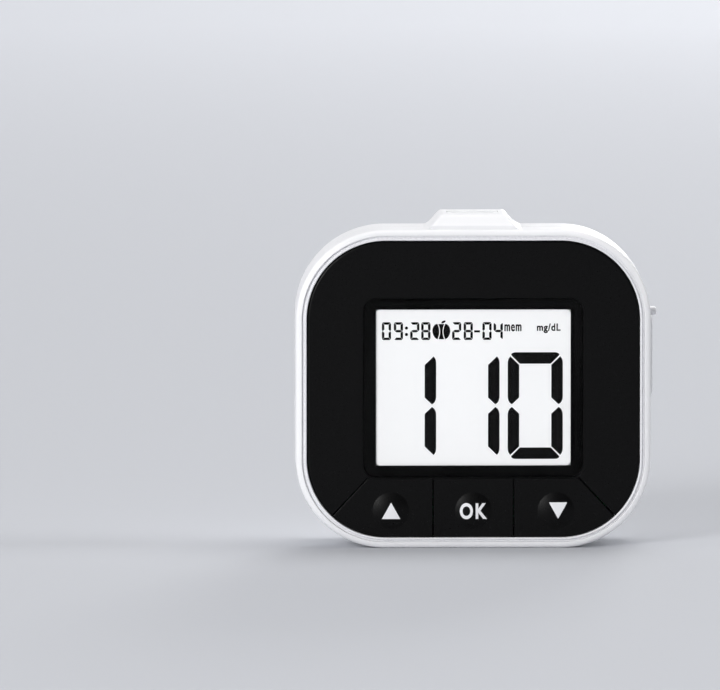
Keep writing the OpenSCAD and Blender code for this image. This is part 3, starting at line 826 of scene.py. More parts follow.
def side_outline(x0, x1, grow):
    """The cover's outline on the right side, as a block between two widths."""
    corner = 1.5
    half, foot, top = COVER_HALF + grow, COVER_HINGE_Z, COVER_HINGE_Z + COVER_H + grow
    piece = block((x0, SOCKET_Y - half, foot), (x1, SOCKET_Y + half, top))
    round_edges(piece, lambda e: along(0)(e) and in_plane(e, 2, top), corner, 8)
    return piece


def port_cuts():
    """What the cover, its hinge and the plug take out of the right side of both halves."""
    inside_x, recess_x, outside_x = 29, 34.1, 37
    mouth_x, mouth_y, mouth_z = 35.2, 2.6, 4.6
    hinge_room = COVER_BARREL + 0.1
    y0, y1 = SOCKET_Y - COVER_HALF - MOVING_GAP, SOCKET_Y + COVER_HALF + MOVING_GAP
    return [
        side_outline(recess_x, outside_x, MOVING_GAP),
        bar((COVER_HINGE_X, y0, COVER_HINGE_Z), (COVER_HINGE_X, y1, COVER_HINGE_Z), hinge_room),
        block(
            (COVER_HINGE_X, y0, COVER_HINGE_Z - hinge_room),
            (COVER_HINGE_X + 4, y1, COVER_HINGE_Z + LAP),
        ),
        block(
            (inside_x, SOCKET_Y - mouth_y, SOCKET_Z - mouth_z),
            (mouth_x, SOCKET_Y + mouth_y, SOCKET_Z + mouth_z),
        ),
    ]


def port_pad(y0, y1):
    """The thicker wall behind the cover."""
    inner_x, outer_x, below, above = 31.9, 33.5, 2.6, 16.1
    return block((inner_x, y0, COVER_HINGE_Z - below), (outer_x, y1, COVER_HINGE_Z + above))


def insert_pocket():
    """Room for the strip port's insert, open at the top."""
    half_x, half_y, depth = 5.1, 2.1, 5
    return block(
        (-half_x, STRIP_Y - half_y, HEIGHT - depth), (half_x, STRIP_Y + half_y, PORT_TOP + 1)
    )


def parting_edges(piece):
    """A small chamfer on the outer parting edge, which shows as a fine line round the housing."""
    chamfer = 0.12

    def outer(edge):
        """True for a parting edge whose wall faces away from the middle of the meter."""
        if not in_plane(edge, 1, SPLIT_Y):
            return False
        out = (edge.verts[0].co + edge.verts[1].co) / 2 - Vector((0, 0, MID_Z))
        return any(abs(f.normal.y) < 0.3 and f.normal.dot(out) > 5 for f in edge.link_faces)

    round_edges(piece, outer, chamfer, 1)


class METER_OT_housing(Operator):
    """Both halves of the housing, with the strip port's hump and the openings"""

    bl_idname = "meter.housing"
    bl_label = "Housing"

    def execute(self, context):
        sizes = in_mm(context.scene.meter_sizes)
        body = outline_slab(0, sizes, FRONT_Y, BACK_Y)
        round_edges(body, lambda e: in_plane(e, 1, FRONT_Y), sizes.lip_radius, 7)
        round_edges(body, lambda e: in_plane(e, 1, BACK_Y), sizes.back_radius, 18)
        # The face recess, with a soft inner edge on the lip.
        inner_round = 0.14
        push_in(
            body,
            lambda f: facing(1, -1)(f) and f.calc_area() > 500,
            sizes.lip_width - sizes.lip_radius,
            (0, PANEL_BACK_Y - FRONT_Y, 0),
        )
        round_edges(body, lambda e: in_plane(e, 1, FRONT_Y) and beside_upright(e), inner_round, 4)
        weld(body, make_hump(sizes))
        # The hollow inside, and the opening behind the face with a ledge that the panel sits on.
        ledge_y, ledge_in, key_room = PANEL_BACK_Y + 1.2, 1.3, 0.2
        hollow_y, hollow_round = BACK_Y - sizes.wall, sizes.back_radius - sizes.wall
        hollow = outline_slab(sizes.wall, sizes, ledge_y, hollow_y)
        round_edges(hollow, lambda e: in_plane(e, 1, hollow_y), hollow_round, 12)
        cut(
            body,
            hollow,
            outline_slab(sizes.ring_width + ledge_in, sizes, PANEL_BACK_Y - 0.5, PANEL_BACK_Y + 2),
            keep(
                outline_slab(sizes.ring_width, sizes, PANEL_BACK_Y - 0.5, PANEL_BACK_Y + 2),
                key_field(-key_room, PANEL_BACK_Y - 0.6, PANEL_BACK_Y + 2.1),
            ),
            insert_pocket(),
        )
        rear = copy_of(body)
        front = cut(body, block((-50, SPLIT_Y, -10), (50, 30, 80)))
        weld(front, port_pad(ledge_y, SPLIT_Y - 0.3))
        cut(front, *port_cuts())
        parting_edges(front)
        finish(front, "front_shell", "housing", "white_abs", ["front_housing"])

        cut(rear, block((-50, -30, -10), (50, SPLIT_Y, 80)))
        self.add_bay(rear)
        cut(rear, *port_cuts())
        parting_edges(rear)
        finish(rear, "rear_shell", "housing", "white_abs", ["rear_housing"])
        return {"FINISHED"}

    def add_bay(self, rear):
        """The battery bay, the door's opening, screw recesses, label recess and sound holes."""
        half, foot, top = 24.25, 8.6, 31.0
        floor_y, ledge_y, seat_y, wall = -0.9, 8.9, 10.05, 1
        ledge_half, keeper_half, keeper_y = DOOR_HALF + 0.9, 8, 7.4
        # The bay's walls, the ledge that the door rests on, and the keeper behind the latch.
        weld(
            rear,
            block((-half - wall, floor_y - wall, foot - 1.6), (half + wall, seat_y, top + wall)),
            block((-ledge_half, ledge_y, top), (ledge_half, seat_y, DOOR_TOP + wall)),
            block((-keeper_half, keeper_y, top), (keeper_half, seat_y, DOOR_TOP + 2.2)),
        )
        # Bosses for the door's lugs, and posts for the screws.
        boss_half, boss_y = 1.4, 10.6
        for side in (-1, 1):
            near, far = sorted((side * (half + 0.98), side * (half + 3.35)))
            boss = block((near, ledge_y, HINGE_Z - boss_half), (far, boss_y, HINGE_Z + boss_half))
            weld(rear, boss)
        screws = [(side * x, z) for x, z in SCREWS for side in (-1, 1)]
        post, head_well, thread_hole = 3.2, 2.3, 1.15
        weld(rear, *[bar((x, 3.6, z), (x, 10.0, z), post) for x, z in screws])
        weld(rear, port_pad(SPLIT_Y, 3.45))
        # The room for the cells, less a low rib between them.
        room = block((-half, floor_y, foot), (half, 20, top))
        rib_in, rib_y, rib_foot, rib_top = 6, 0.6, 19.05, 20.25
        cut(room, block((-half + rib_in, floor_y - LAP, rib_foot), (half - rib_in, rib_y, rib_top)))
        # The opening and the hinge's barrel and lugs, the latch's hook, and a scoop for a finger.
        opening, opening_y, outside_y = DOOR_HALF + MOVING_GAP, 9.9, 13
        barrel_room = DOOR_BARREL + MOVING_GAP
        lug_end, lug_room = DOOR_HALF + 1.2, 0.75
        hook_half, scoop_half, scoop_radius, scoop_deep = 6.3, 6.5, 12, 0.9
        scoop_y, scoop_z = BACK_Y + scoop_radius - scoop_deep, DOOR_TOP + MOVING_GAP
        cut(
            rear,
            room,
            block((-opening, opening_y, HINGE_Z), (opening, outside_y, DOOR_TOP + MOVING_GAP)),
            bar((-opening, HINGE_Y, HINGE_Z), (opening, HINGE_Y, HINGE_Z), barrel_room),
            block((-opening, HINGE_Y, HINGE_Z - barrel_room), (opening, outside_y, HINGE_Z + LAP)),
            bar((-lug_end, HINGE_Y, HINGE_Z), (lug_end, HINGE_Y, HINGE_Z), lug_room, 24),
            block((-hook_half, 8.5, top + 1.3), (hook_half, 9.95, DOOR_TOP + 1.3)),
            bar((-scoop_half, scoop_y, scoop_z), (scoop_half, scoop_y, scoop_z), scoop_radius, 160),
        )
        cut(rear, *[bar((x, 5, z), (x, 14, z), head_well) for x, z in screws])
        cut(rear, *[bar((x, 2, z), (x, 6, z), thread_hole, 24) for x, z in screws])
        label_w, label_h, label_corner, label_deep, label_down = 28.2, 11.7, 1.3, 0.2, 13.6
        label_front, label_z = BACK_Y - label_deep, HEIGHT - label_down
        cut(rear, slab(label_w, label_h, label_corner, label_front, BACK_Y + 2, (0, label_z), 8))
        # Sound holes: one in the middle and six round it.
        sound_x, sound_z, spread, hole = -19.5, 41.0, 1.7, 0.45
        turns = [math.radians(a) for a in range(0, 360, 60)]
        places = [(sound_x, sound_z)]
        places += [(sound_x + spread * math.cos(a), sound_z + spread * math.sin(a)) for a in turns]
        cut(
            rear,
            joined([bar((x, BACK_Y - 3, z), (x, BACK_Y + 1, z), hole, 20) for x, z in places]),
        )
        # Slots for the cells' end plates.
        plate_x, plate_half, slot_half = 24.05, 0.3, 1.6
        slots = [
            block(
                (side * plate_x - plate_half, -3, z - slot_half),
                (side * plate_x + plate_half, 0, z + slot_half),
            )
            for side in (-1, 1)
            for z in CELL_ZS.values()
        ]
        cut(rear, joined(slots))


# ---------------------------------------------------------------------------- front face


def on_rim(edge):
    """True for the face's outer edge, and not for the lens opening or the slots round the keys."""
    beside_lens, above_lens = 31.0, 50.0
    return all(abs(v.co.x) > beside_lens or v.co.z > above_lens for v in edge.verts)


class METER_OT_face(Operator):
    """Bezel, black face, the three keys and their printed symbols"""

    bl_idname = "meter.face"
    bl_label = "Face and keys"

    def execute(self, context):
        sizes = in_mm(context.scene.meter_sizes)
        self.make_bezel(sizes)
        self.make_panel(sizes)
        for key in DOME_XS:
            self.make_key(key, sizes)
            self.make_symbol(key, sizes)
        return {"FINISHED"}

    def make_bezel(self, sizes):
        """The ring's white inner rim, behind the fine groove."""
        seat_gap, groove_depth, outer_round, inner_round = 0.05, 0.5, 0.22, 0.2
        # A flange at the bottom of the groove, and the rim that stands on it.
        ring = outline_slab(sizes.lip_width + seat_gap, sizes, FRONT_Y + groove_depth, PANEL_BACK_Y)
        push_in(ring, facing(1, -1), sizes.groove - seat_gap, (0, -groove_depth, 0))
        round_edges(ring, lambda e: in_plane(e, 1, FRONT_Y), outer_round, 5)
        cut(ring, outline_slab(sizes.ring_width, sizes, FRONT_Y - 1, PANEL_BACK_Y + 1))
        # The inner edge rolls in towards the black face.
        round_edges(ring, lambda e: in_plane(e, 1, FRONT_Y) and beside_upright(e), inner_round, 4)
        finish(ring, "bezel_ring", "housing", "bezel_abs", ["front_bezel"])

    def make_panel(self, sizes):
        """The black face with its openings for the lens, the display and the keys."""
        seat_rim, seat_corner, seat_y = 3, 3.6, PANEL_BACK_Y + 0.8
        lens_gap, lens_corner, view_rim = 0.2, 2.7, 1
        rim_round, slot_round = 0.45, 0.05
        panel = outline_slab(sizes.ring_width + 0.1, sizes, PANEL_Y, PANEL_BACK_Y)
        seat = slab(
            LENS_W + seat_rim,
            LENS_H + seat_rim,
            seat_corner,
            PANEL_BACK_Y - LAP,
            seat_y,
            (0, LENS_Z),
            8,
        )
        weld(panel, seat)
        # A ledge behind the tops of the keys, so that no pale part shows through the slots.
        ledge_half, ledge_foot, ledge_top = 22.8, 11.5, 14.4
        ledge = block(
            (-ledge_half, PANEL_BACK_Y + 0.45, ledge_foot),
            (ledge_half, seat_y + 0.02, ledge_top),
        )
        view_w, view_h = WINDOW_W + view_rim, WINDOW_H + view_rim
        cut(
            panel,
            slab(
                LENS_W + lens_gap,
                LENS_H + lens_gap,
                lens_corner,
                PANEL_Y - 1,
                PANEL_BACK_Y,
                (0, LENS_Z),
                10,
            ),
            block((-view_w / 2, -12, LENS_Z - view_h / 2), (view_w / 2, -8, LENS_Z + view_h / 2)),
            key_field(-sizes.key_gap / 2, PANEL_Y - 1, PANEL_BACK_Y + 1),
        )
        # A thin web between the lens and the keys, on which they tilt, just under the surface.
        web_half, web_foot, web_top = LENS_W / 2 - 0.9, KEY_TOP + 0.08, LENS_LOW.z - 0.01
        web = block((-web_half, PANEL_Y + 0.1, web_foot), (web_half, PANEL_BACK_Y + 0.6, web_top))
        weld(panel, ledge, web)
        # The outer edge rolls off softly beside the white ring; the slots keep crisp edges.
        round_edges(panel, lambda e: in_plane(e, 1, PANEL_Y) and on_rim(e), rim_round, 5)
        round_edges(panel, lambda e: in_plane(e, 1, PANEL_Y), slot_round, 2)
        finish(panel, "face_panel", "housing", "face_abs", ["front_panel"])

    def make_key(self, key, sizes):
        """One key: a plate cut from the face's own outline, its dome, and the post behind it."""
        slot_round, post_tip, post_radius = 0.05, -7.65, 1.2
        half = sizes.key_gap / 2
        plate = outline_slab(sizes.ring_width + half, sizes, PANEL_Y, PANEL_BACK_Y)
        keep(plate, key_field(half, PANEL_Y - 1, PANEL_BACK_Y + 1))
        bounds = {"up": (-40, -OK_HALF), "ok": (-OK_HALF, OK_HALF), "down": (OK_HALF, 40)}
        left, right = bounds[key]
        trim(plate, (left + half, 0, 0), (-1, 0, 0))
        trim(plate, (right - half, 0, 0), (1, 0, 0))
        # The top edge, next to the lens, stays sharp.
        top = max(v.co.z for v in plate.data.vertices)
        round_edges(
            plate, lambda e: in_plane(e, 1, PANEL_Y) and not in_plane(e, 2, top), slot_round, 2
        )
        x = DOME_XS[key]
        weld(plate, self.dome(x, sizes, 0))
        weld(plate, bar((x, PANEL_BACK_Y - 0.2, DOME_Z), (x, post_tip, DOME_Z), post_radius, 32))
        finish(plate, key + "_key_cap", key + "_key", "face_abs", [key + "_key"], 20)

    def dome(self, x, sizes, proud):
        """The low dome of a key, as a cap that reaches into the plate; proud lifts it a little."""
        r, h, sunk = sizes.dome_radius, sizes.dome_height, 0.12
        # Radius of the ball whose cap is r wide and h high.
        ball = (r * r + h * h) / (2 * h)
        deselect_all()
        bpy.ops.mesh.primitive_uv_sphere_add(
            segments=96,
            ring_count=192,
            radius=ball + proud,
            location=(x, PANEL_Y - h + ball, DOME_Z),
            rotation=(math.radians(90), 0, 0),
        )
        cap = settle(bpy.context.object)
        trim(cap, (0, PANEL_Y + sunk, 0), (0, 1, 0))
        return cap

    def make_symbol(self, key, sizes):
        """The symbol printed on a key: a thin skin of ink that follows the dome."""
        ink, surface = 0.014, PANEL_Y - 0.02
        x = DOME_XS[key]
        back, front = PANEL_Y + 1, PANEL_Y - 1
        if key == "ok":
            low, high = (-2.66, DOME_Z - 1.68), (2.68, DOME_Z + 1.5)
            symbol = lettering("OK", low, high, back, front, weight=0.034, spacing=1.22)
        else:
            # A triangle with blunt corners, a little right of the dome's middle.
            up, aside = {"up": (1, 0.05), "down": (-1, 0.42)}[key]
            right_half = [(0.05, 1.54), (1.78, -1.56), (1.7, -1.62)]
            corners = right_half + [(-a, b) for a, b in right_half[::-1]]
            outline = [(x + aside + a, DOME_Z + up * b) for a, b in corners]
            symbol = plates(key, [outline], back, front)
        keep(symbol, self.dome(x, sizes, ink))
        trim(symbol, (0, surface, 0), (0, 1, 0))
        finish(symbol, key + "_key_print", key + "_key", "ink", angle=20)


# ---------------------------------------------------------------------------- display

# Lit segments of each figure, lettered as on data sheets: a on top, then clockwise, g across.
SEGMENTS = {
    "0": "abcdef",
    "1": "bc",
    "2": "abdeg",
    "4": "bcfg",
    "8": "abcdefg",
    "9": "abcdfg",
}


def segment_outlines(figure, left, foot, width, height, stroke, gap):
    """Outlines of a figure's lit segments, with mitred ends, gaps and round outer corners."""
    right, top, middle = left + width, foot + height, foot + height / 2

    def upright(inner, outer, corner, split):
        """A vertical segment from the figure's corner to its split in the middle."""
        side = outer - inner
        up = 1 if corner > split else -1
        corner_end = corner - up * stroke * 0.35
        split_end = split + up * gap / 2
        return [
            (inner, corner_end - up * stroke * 0.75),
            (inner + side * 0.78, corner_end),
            (inner + side * 0.9, corner_end - up * stroke * 0.17),
            (inner + side * 0.98, corner_end - up * stroke * 0.36),
            (outer, corner_end - up * stroke * 0.56),
            (outer, split_end + up * stroke * 0.62),
            (inner + side * 0.96, split_end + up * stroke * 0.4),
            (inner + side * 0.85, split_end + up * stroke * 0.18),
            (inner + side * 0.64, split_end),
            (inner, split_end + up * stroke * 0.6),
        ]

    def level(edge, up):
        """The top or bottom segment, whose outer edge is given."""
        rim = [
            (stroke * 1.05, edge - up * stroke),
            (stroke * 0.29, edge - up * stroke * 0.23),
            (stroke * 0.36, edge - up * stroke * 0.09),
            (stroke * 0.6, edge),
        ]
        return [(left + x, z) for x, z in rim] + [(right - x, z) for x, z in rim[::-1]]

    def bar_in_the_middle():
        near, far, half = stroke * 0.4, stroke * 1.12, stroke / 2
        rim = [(far, middle + half), (near, middle), (far, middle - half)]
        return [(left + x, z) for x, z in rim] + [(right - x, z) for x, z in rim[::-1]]

    shapes = {
        "a": lambda: level(top, 1),
        "b": lambda: upright(right - stroke, right, top, middle),
        "c": lambda: upright(right - stroke, right, foot, middle),
        "d": lambda: level(foot, -1),
        "e": lambda: upright(left + stroke, left, foot, middle),
        "f": lambda: upright(left + stroke, left, top, middle),
        "g": bar_in_the_middle,
    }
    return [shapes[s]() for s in SEGMENTS[figure]]


def disc_outline(x, z, radius, sides=20):
    turns = [2 * math.pi * i / sides for i in range(sides)]
    return [(x + radius * math.cos(a), z + radius * math.sin(a)) for a in turns]


def fruit_outlines(x, z, radius):
    """The mark for a reading after a meal: a round fruit whose core stands between two slits."""
    core_half, slit_out, down = 0.14, 0.23, 0.1
    lobe_turn, lobe_power, lobe_tall, slit_tall, core_tall = 1.2, 0.8, 0.96, 0.88, 0.86

    def core_edge(t, reach):
        """Half width of the core at height t, from -1 to 1: narrow in the middle."""
        return radius * (reach + 0.2 * t * t)

    def lobe(side):
        """One side of the fruit: broad shoulders above, narrower below."""
        steps = [i / 12 for i in range(-12, 13)]
        rim = []
        for t in steps:
            wide = math.cos(t * lobe_turn) ** lobe_power * (1.0 + 0.1 * t)
            rim.append((side * radius * wide, radius * math.sin(t * lobe_turn)))
        inside = [(side * core_edge(-t, slit_out), -t * radius * slit_tall) for t in steps]
        return [(x + a, z - down * radius + b * lobe_tall) for a, b in rim + inside]

    heights = [i / 8 for i in range(-8, 9)]
    core = [(x + core_edge(t, core_half), z + (t * core_tall - down) * radius) for t in heights]
    core += [(2 * x - a, b) for a, b in core[::-1]]
    leaf = [(0.02, 0.8), (0.02, 0.98), (0.14, 1.1), (0.34, 1.16)]
    leaf += [(0.5, 1.12), (0.44, 0.98), (0.28, 0.88)]
    return [lobe(-1), lobe(1), core, [(x + a * radius, z + b * radius) for a, b in leaf]]


def plates(name, outlines, back, front):
    """Thin plates between two depths, one for each outline seen from the front."""
    places, faces = [], []
    for outline in outlines:
        faces.append(list(range(len(places), len(places) + len(outline))))
        places += [(x, back, z) for x, z in outline]
    mesh = bpy.data.meshes.new(name)
    mesh.from_pydata(places, [], faces)
    piece = bpy.data.objects.new(name, mesh)
    bpy.context.scene.collection.objects.link(piece)
    edit(piece)
    bpy.ops.mesh.select_all(action="SELECT")
    bpy.ops.mesh.extrude_region_move(TRANSFORM_OT_translate={"value": (0, front - back, 0)})
    bpy.ops.mesh.select_all(action="SELECT")
    bpy.ops.mesh.normals_make_consistent(inside=False)
    leave()
    return piece


def lettering(text, low, high, back, front, weight=0.0, spacing=1.0, bold=0.0):
    """Raised plain letters that fill a box seen from the front, between two depths.

    Weight swells the strokes before the letters are fitted to the box, in parts of their height.
    Bold swells them again afterwards, in millimetres.
    """
    deselect_all()
    bpy.ops.object.text_add(location=(0, 0, 0), rotation=(math.radians(90), 0, 0))
    letters = bpy.context.object
    letters.data.body = text
    letters.data.offset = weight
    letters.data.space_character = spacing
    letters.data.extrude = 0.5
    letters.data.resolution_u = 8
    bpy.ops.object.convert(target="MESH")
    letters = settle(bpy.context.object)
    edit(letters)
    bpy.ops.mesh.select_all(action="SELECT")
    bpy.ops.mesh.remove_doubles(threshold=0.0005)
    leave()
    places = [vertex.co.copy() for vertex in letters.data.vertices]
    least = Vector([min(place[i] for place in places) for i in range(3)])
    size = Vector([max(place[i] for place in places) for i in range(3)]) - least
    for vertex in letters.data.vertices:
        share = vertex.co - least
        vertex.co.x = low[0] + (high[0] - low[0]) * share.x / size.x
        vertex.co.z = low[1] + (high[1] - low[1]) * share.z / size.z
    edit(letters)
    bpy.ops.mesh.select_all(action="SELECT")
    bpy.ops.transform.shrink_fatten(value=bold)
    leave()
    for vertex in letters.data.vertices:
        vertex.co.y = front if vertex.co.y < 0 else back
    return letters


class METER_OT_display(Operator):
    """Lens, display cell and what the display shows"""

    bl_idname = "meter.display"
    bl_label = "Display"

    def execute(self, context):
        lens_corner, lens_round = 2.6, 0.1
        lens = slab(LENS_W, LENS_H, lens_corner, LENS_LOW.y, LENS_HIGH.y, (0, LENS_Z), 10)
        round_edges(lens, lambda e: in_plane(e, 1, LENS_LOW.y), lens_round, 2)
        finish(lens, "lens_sheet", "housing", "acrylic", ["display_lens"])

        # Front glass, and the shorter rear glass that leaves the contact edges free.
        step, contact_edge, glass_round = GLASS_Y + 1.1, 2.5, 0.08
        cell = block(GLASS_LOW, (GLASS_HIGH.x, step, GLASS_HIGH.z))
        weld(
            cell,
            block(
                (GLASS_LOW.x, step - 0.01, GLASS_LOW.z + contact_edge),
                (GLASS_HIGH.x, GLASS_HIGH.y, GLASS_HIGH.z - contact_edge),
            ),
        )
        round_edges(cell, lambda e: in_plane(e, 1, GLASS_Y), glass_round, 1)
        finish(cell, "display_cell", "housing", "cell_edge", ["lcd_glass"])
        # The polariser fills the window and stands right behind the lens.
        overlap, film_corner, film_round = 0.1, 1.0, 0.04
        film_w, film_h, film_y = WINDOW_W + overlap, WINDOW_H + overlap, GLASS_Y - FILM_PROUD
        film = slab(film_w, film_h, film_corner, film_y, GLASS_Y + 0.02, (0, LENS_Z), 8)
        round_edges(film, lambda e: in_plane(e, 1, film_y), film_round, 1)
        finish(film, "display_film", "housing", "ground")
        self.make_figures()
        return {"FINISHED"}

    def make_figures(self):
        """The reading, and the small row with the time, the meal mark, the date and the units."""
        back, front = GLASS_Y - FILM_PROUD + 0.01, GLASS_Y - FILM_PROUD - 0.02
        outlines = []
        # The reading: foot, width, height, stroke and gap of its figures.
        large = (17.4, 10.8, 21.0, 2.25, 0.5)
        for figure, left in (("1", -18.07), ("1", -5.64), ("0", 6.77)):
            outlines += segment_outlines(figure, left, *large)
        # The small row: the same, and where each of its figures starts.
        small = (40.84, 1.8, 3.5, 0.48, 0.06)
        starts = {
            "0": (-17.92, 1.8),
            "9": (-15.58,),
            "2": (-12.37, -4.15),
            "8": (-10.2, -1.88),
            "4": (4.0,),
        }
        for figure, lefts in starts.items():
            for left in lefts:
                outlines += segment_outlines(figure, left, *small)
        # The colon, the dash between day and month, and the meal mark.
        colon_x, colon_zs, dot = -13.1, (41.93, 43.2), 0.31
        outlines += [disc_outline(colon_x, z, dot) for z in colon_zs]
        outlines.append([(0.18, 42.32), (1.32, 42.32), (1.32, 42.74), (0.18, 42.74)])
        outlines += fruit_outlines(-6.26, 42.66, 1.74)
        figures = plates("display_figures", outlines, back, front)
        units = [
            lettering("mem", (6.16, 42.58), (9.4, 43.84), back, front, spacing=1.18, bold=0.1),
            lettering("mg/dL", (12.54, 42.22), (17.06, 44.0), back, front, spacing=1.14, bold=0.1),
        ]
        finish(joined([figures, *units]), "display_figures", "housing", "segment")


# ---------------------------------------------------------------------------- right side


class METER_OT_port(Operator):
    """Data port and its hinged cover, and the strip port's insert"""

    bl_idname = "meter.port"
    bl_label = "Ports"

    def execute(self, context):
        self.make_cover()
        self.make_socket()
        self.make_insert()
        return {"FINISHED"}

    def make_cover(self):
        """The cover: its plate, the lip on top, the barrel and lugs it turns on, and its plug."""
        face, back, face_round = SIDE_X + 0.55, SIDE_X - 0.6, 0.32
        cover = side_outline(back, face, 0)
        lip_z, lip_half, lip_long, lip_face = COVER_HINGE_Z + 15.9, 0.8, 1.8, SIDE_X + 1.4
        lip = block(
            (SIDE_X + 0.15, SOCKET_Y - lip_long, lip_z - lip_half),
            (lip_face, SOCKET_Y + lip_long, lip_z + lip_half),
        )
        round_edges(lip, along(0), 0.6, 6)
        round_edges(lip, lambda e: in_plane(e, 0, lip_face), 0.55, 5)
        # The face's edge is rounded but for its foot, which runs into the barrel.
        round_edges(
            cover,
            lambda e: in_plane(e, 0, face) and middle_z(e) > COVER_HINGE_Z + 0.5,
            face_round,
            4,
        )
        y0, y1 = SOCKET_Y - COVER_HALF, SOCKET_Y + COVER_HALF
        barrel = bar(
            (COVER_HINGE_X, y0, COVER_HINGE_Z), (COVER_HINGE_X, y1, COVER_HINGE_Z), COVER_BARREL
        )
        round_edges(barrel, lambda e: in_plane(e, 1, y0) or in_plane(e, 1, y1), 0.15, 2)
        lug, lug_radius = 0.7, 0.4
        lugs = bar(
            (COVER_HINGE_X, y0 - lug, COVER_HINGE_Z),
            (COVER_HINGE_X, y1 + lug, COVER_HINGE_Z),
            lug_radius,
            24,
        )
        plug_x, plug_y, plug_z, plug_wall, plug_deep = SIDE_X - 1.45, 2.3, 4.3, 0.7, 0.6
        plug = block(
            (plug_x, SOCKET_Y - plug_y, SOCKET_Z - plug_z),
            (back + 0.05, SOCKET_Y + plug_y, SOCKET_Z + plug_z),
        )
        round_edges(plug, along(0), 0.5, 4)
        round_edges(plug, lambda e: in_plane(e, 0, plug_x), 0.2, 2)
        push_in(plug, facing(0, -1), plug_wall, (plug_deep, 0, 0))
        weld(cover, barrel, lugs, plug, lip)
        finish(cover, "cover_flap", "port_cover", "cover_abs", ["port_cover"])

    def make_socket(self):
        """The socket's steel shell, round-cornered, and the gold contacts on its tongue."""
        x0, x1, sheet = SOCKET_LOW.x, SOCKET_HIGH.x, 0.35
        shell = block(SOCKET_LOW, SOCKET_HIGH)
        round_edges(shell, along(0), 0.7, 6)
        push_in(shell, facing(0, 1), sheet, (x0 - x1 + sheet, 0, 0))
        round_edges(shell, lambda e: in_plane(e, 0, x1), 0.08, 2)
        finish(shell, "socket_shell", "housing", "plated_steel", ["data_port"])
        leaves, pitch, leaf_half, leaf_y = [], 0.9, 0.2, SOCKET_Y - 0.62
        for i in range(-2, 3):
            z = SOCKET_Z + pitch * i
            leaf = block((x0 + 2, leaf_y, z - leaf_half), (x1 - 1.6, SOCKET_Y - 0.5, z + leaf_half))
            round_edges(leaf, lambda e: in_plane(e, 1, leaf_y), 0.04, 1)
            leaves.append(leaf)
        finish(joined(leaves), "socket_contacts", "housing", "gold_plate")

    def make_insert(self):
        """The strip port's insert, with the slot for the strip."""
        slot_half, slot_y, mouth_half, mouth_deep, mouth_flare = 3.6, 0.5, 4.0, 2.1, 2.6
        low, high = node_box("port_insert")
        insert = block(low, high)
        round_edges(insert, along(2), 0.25, 3)
        slot = block(
            (-slot_half, STRIP_Y - slot_y, low.z - 1), (slot_half, STRIP_Y + slot_y, high.z + 1)
        )
        # The mouth widens towards the top, so that the strip finds its way in.
        mouth = block(
            (-mouth_half, STRIP_Y - slot_y, high.z - mouth_deep),
            (mouth_half, STRIP_Y + slot_y, high.z + 0.3),
        )
        edit(mouth)
        select(mouth, "faces", facing(2, 1))
        bpy.ops.transform.resize(value=(1, mouth_flare, 1), center_override=(0, STRIP_Y, high.z))
        leave()
        cut(insert, slot, mouth)
        round_edges(insert, lambda e: in_plane(e, 2, high.z), 0.1, 2)
        finish(insert, "strip_guide", "housing", "acetal", ["port_insert"])


# ---------------------------------------------------------------------------- back


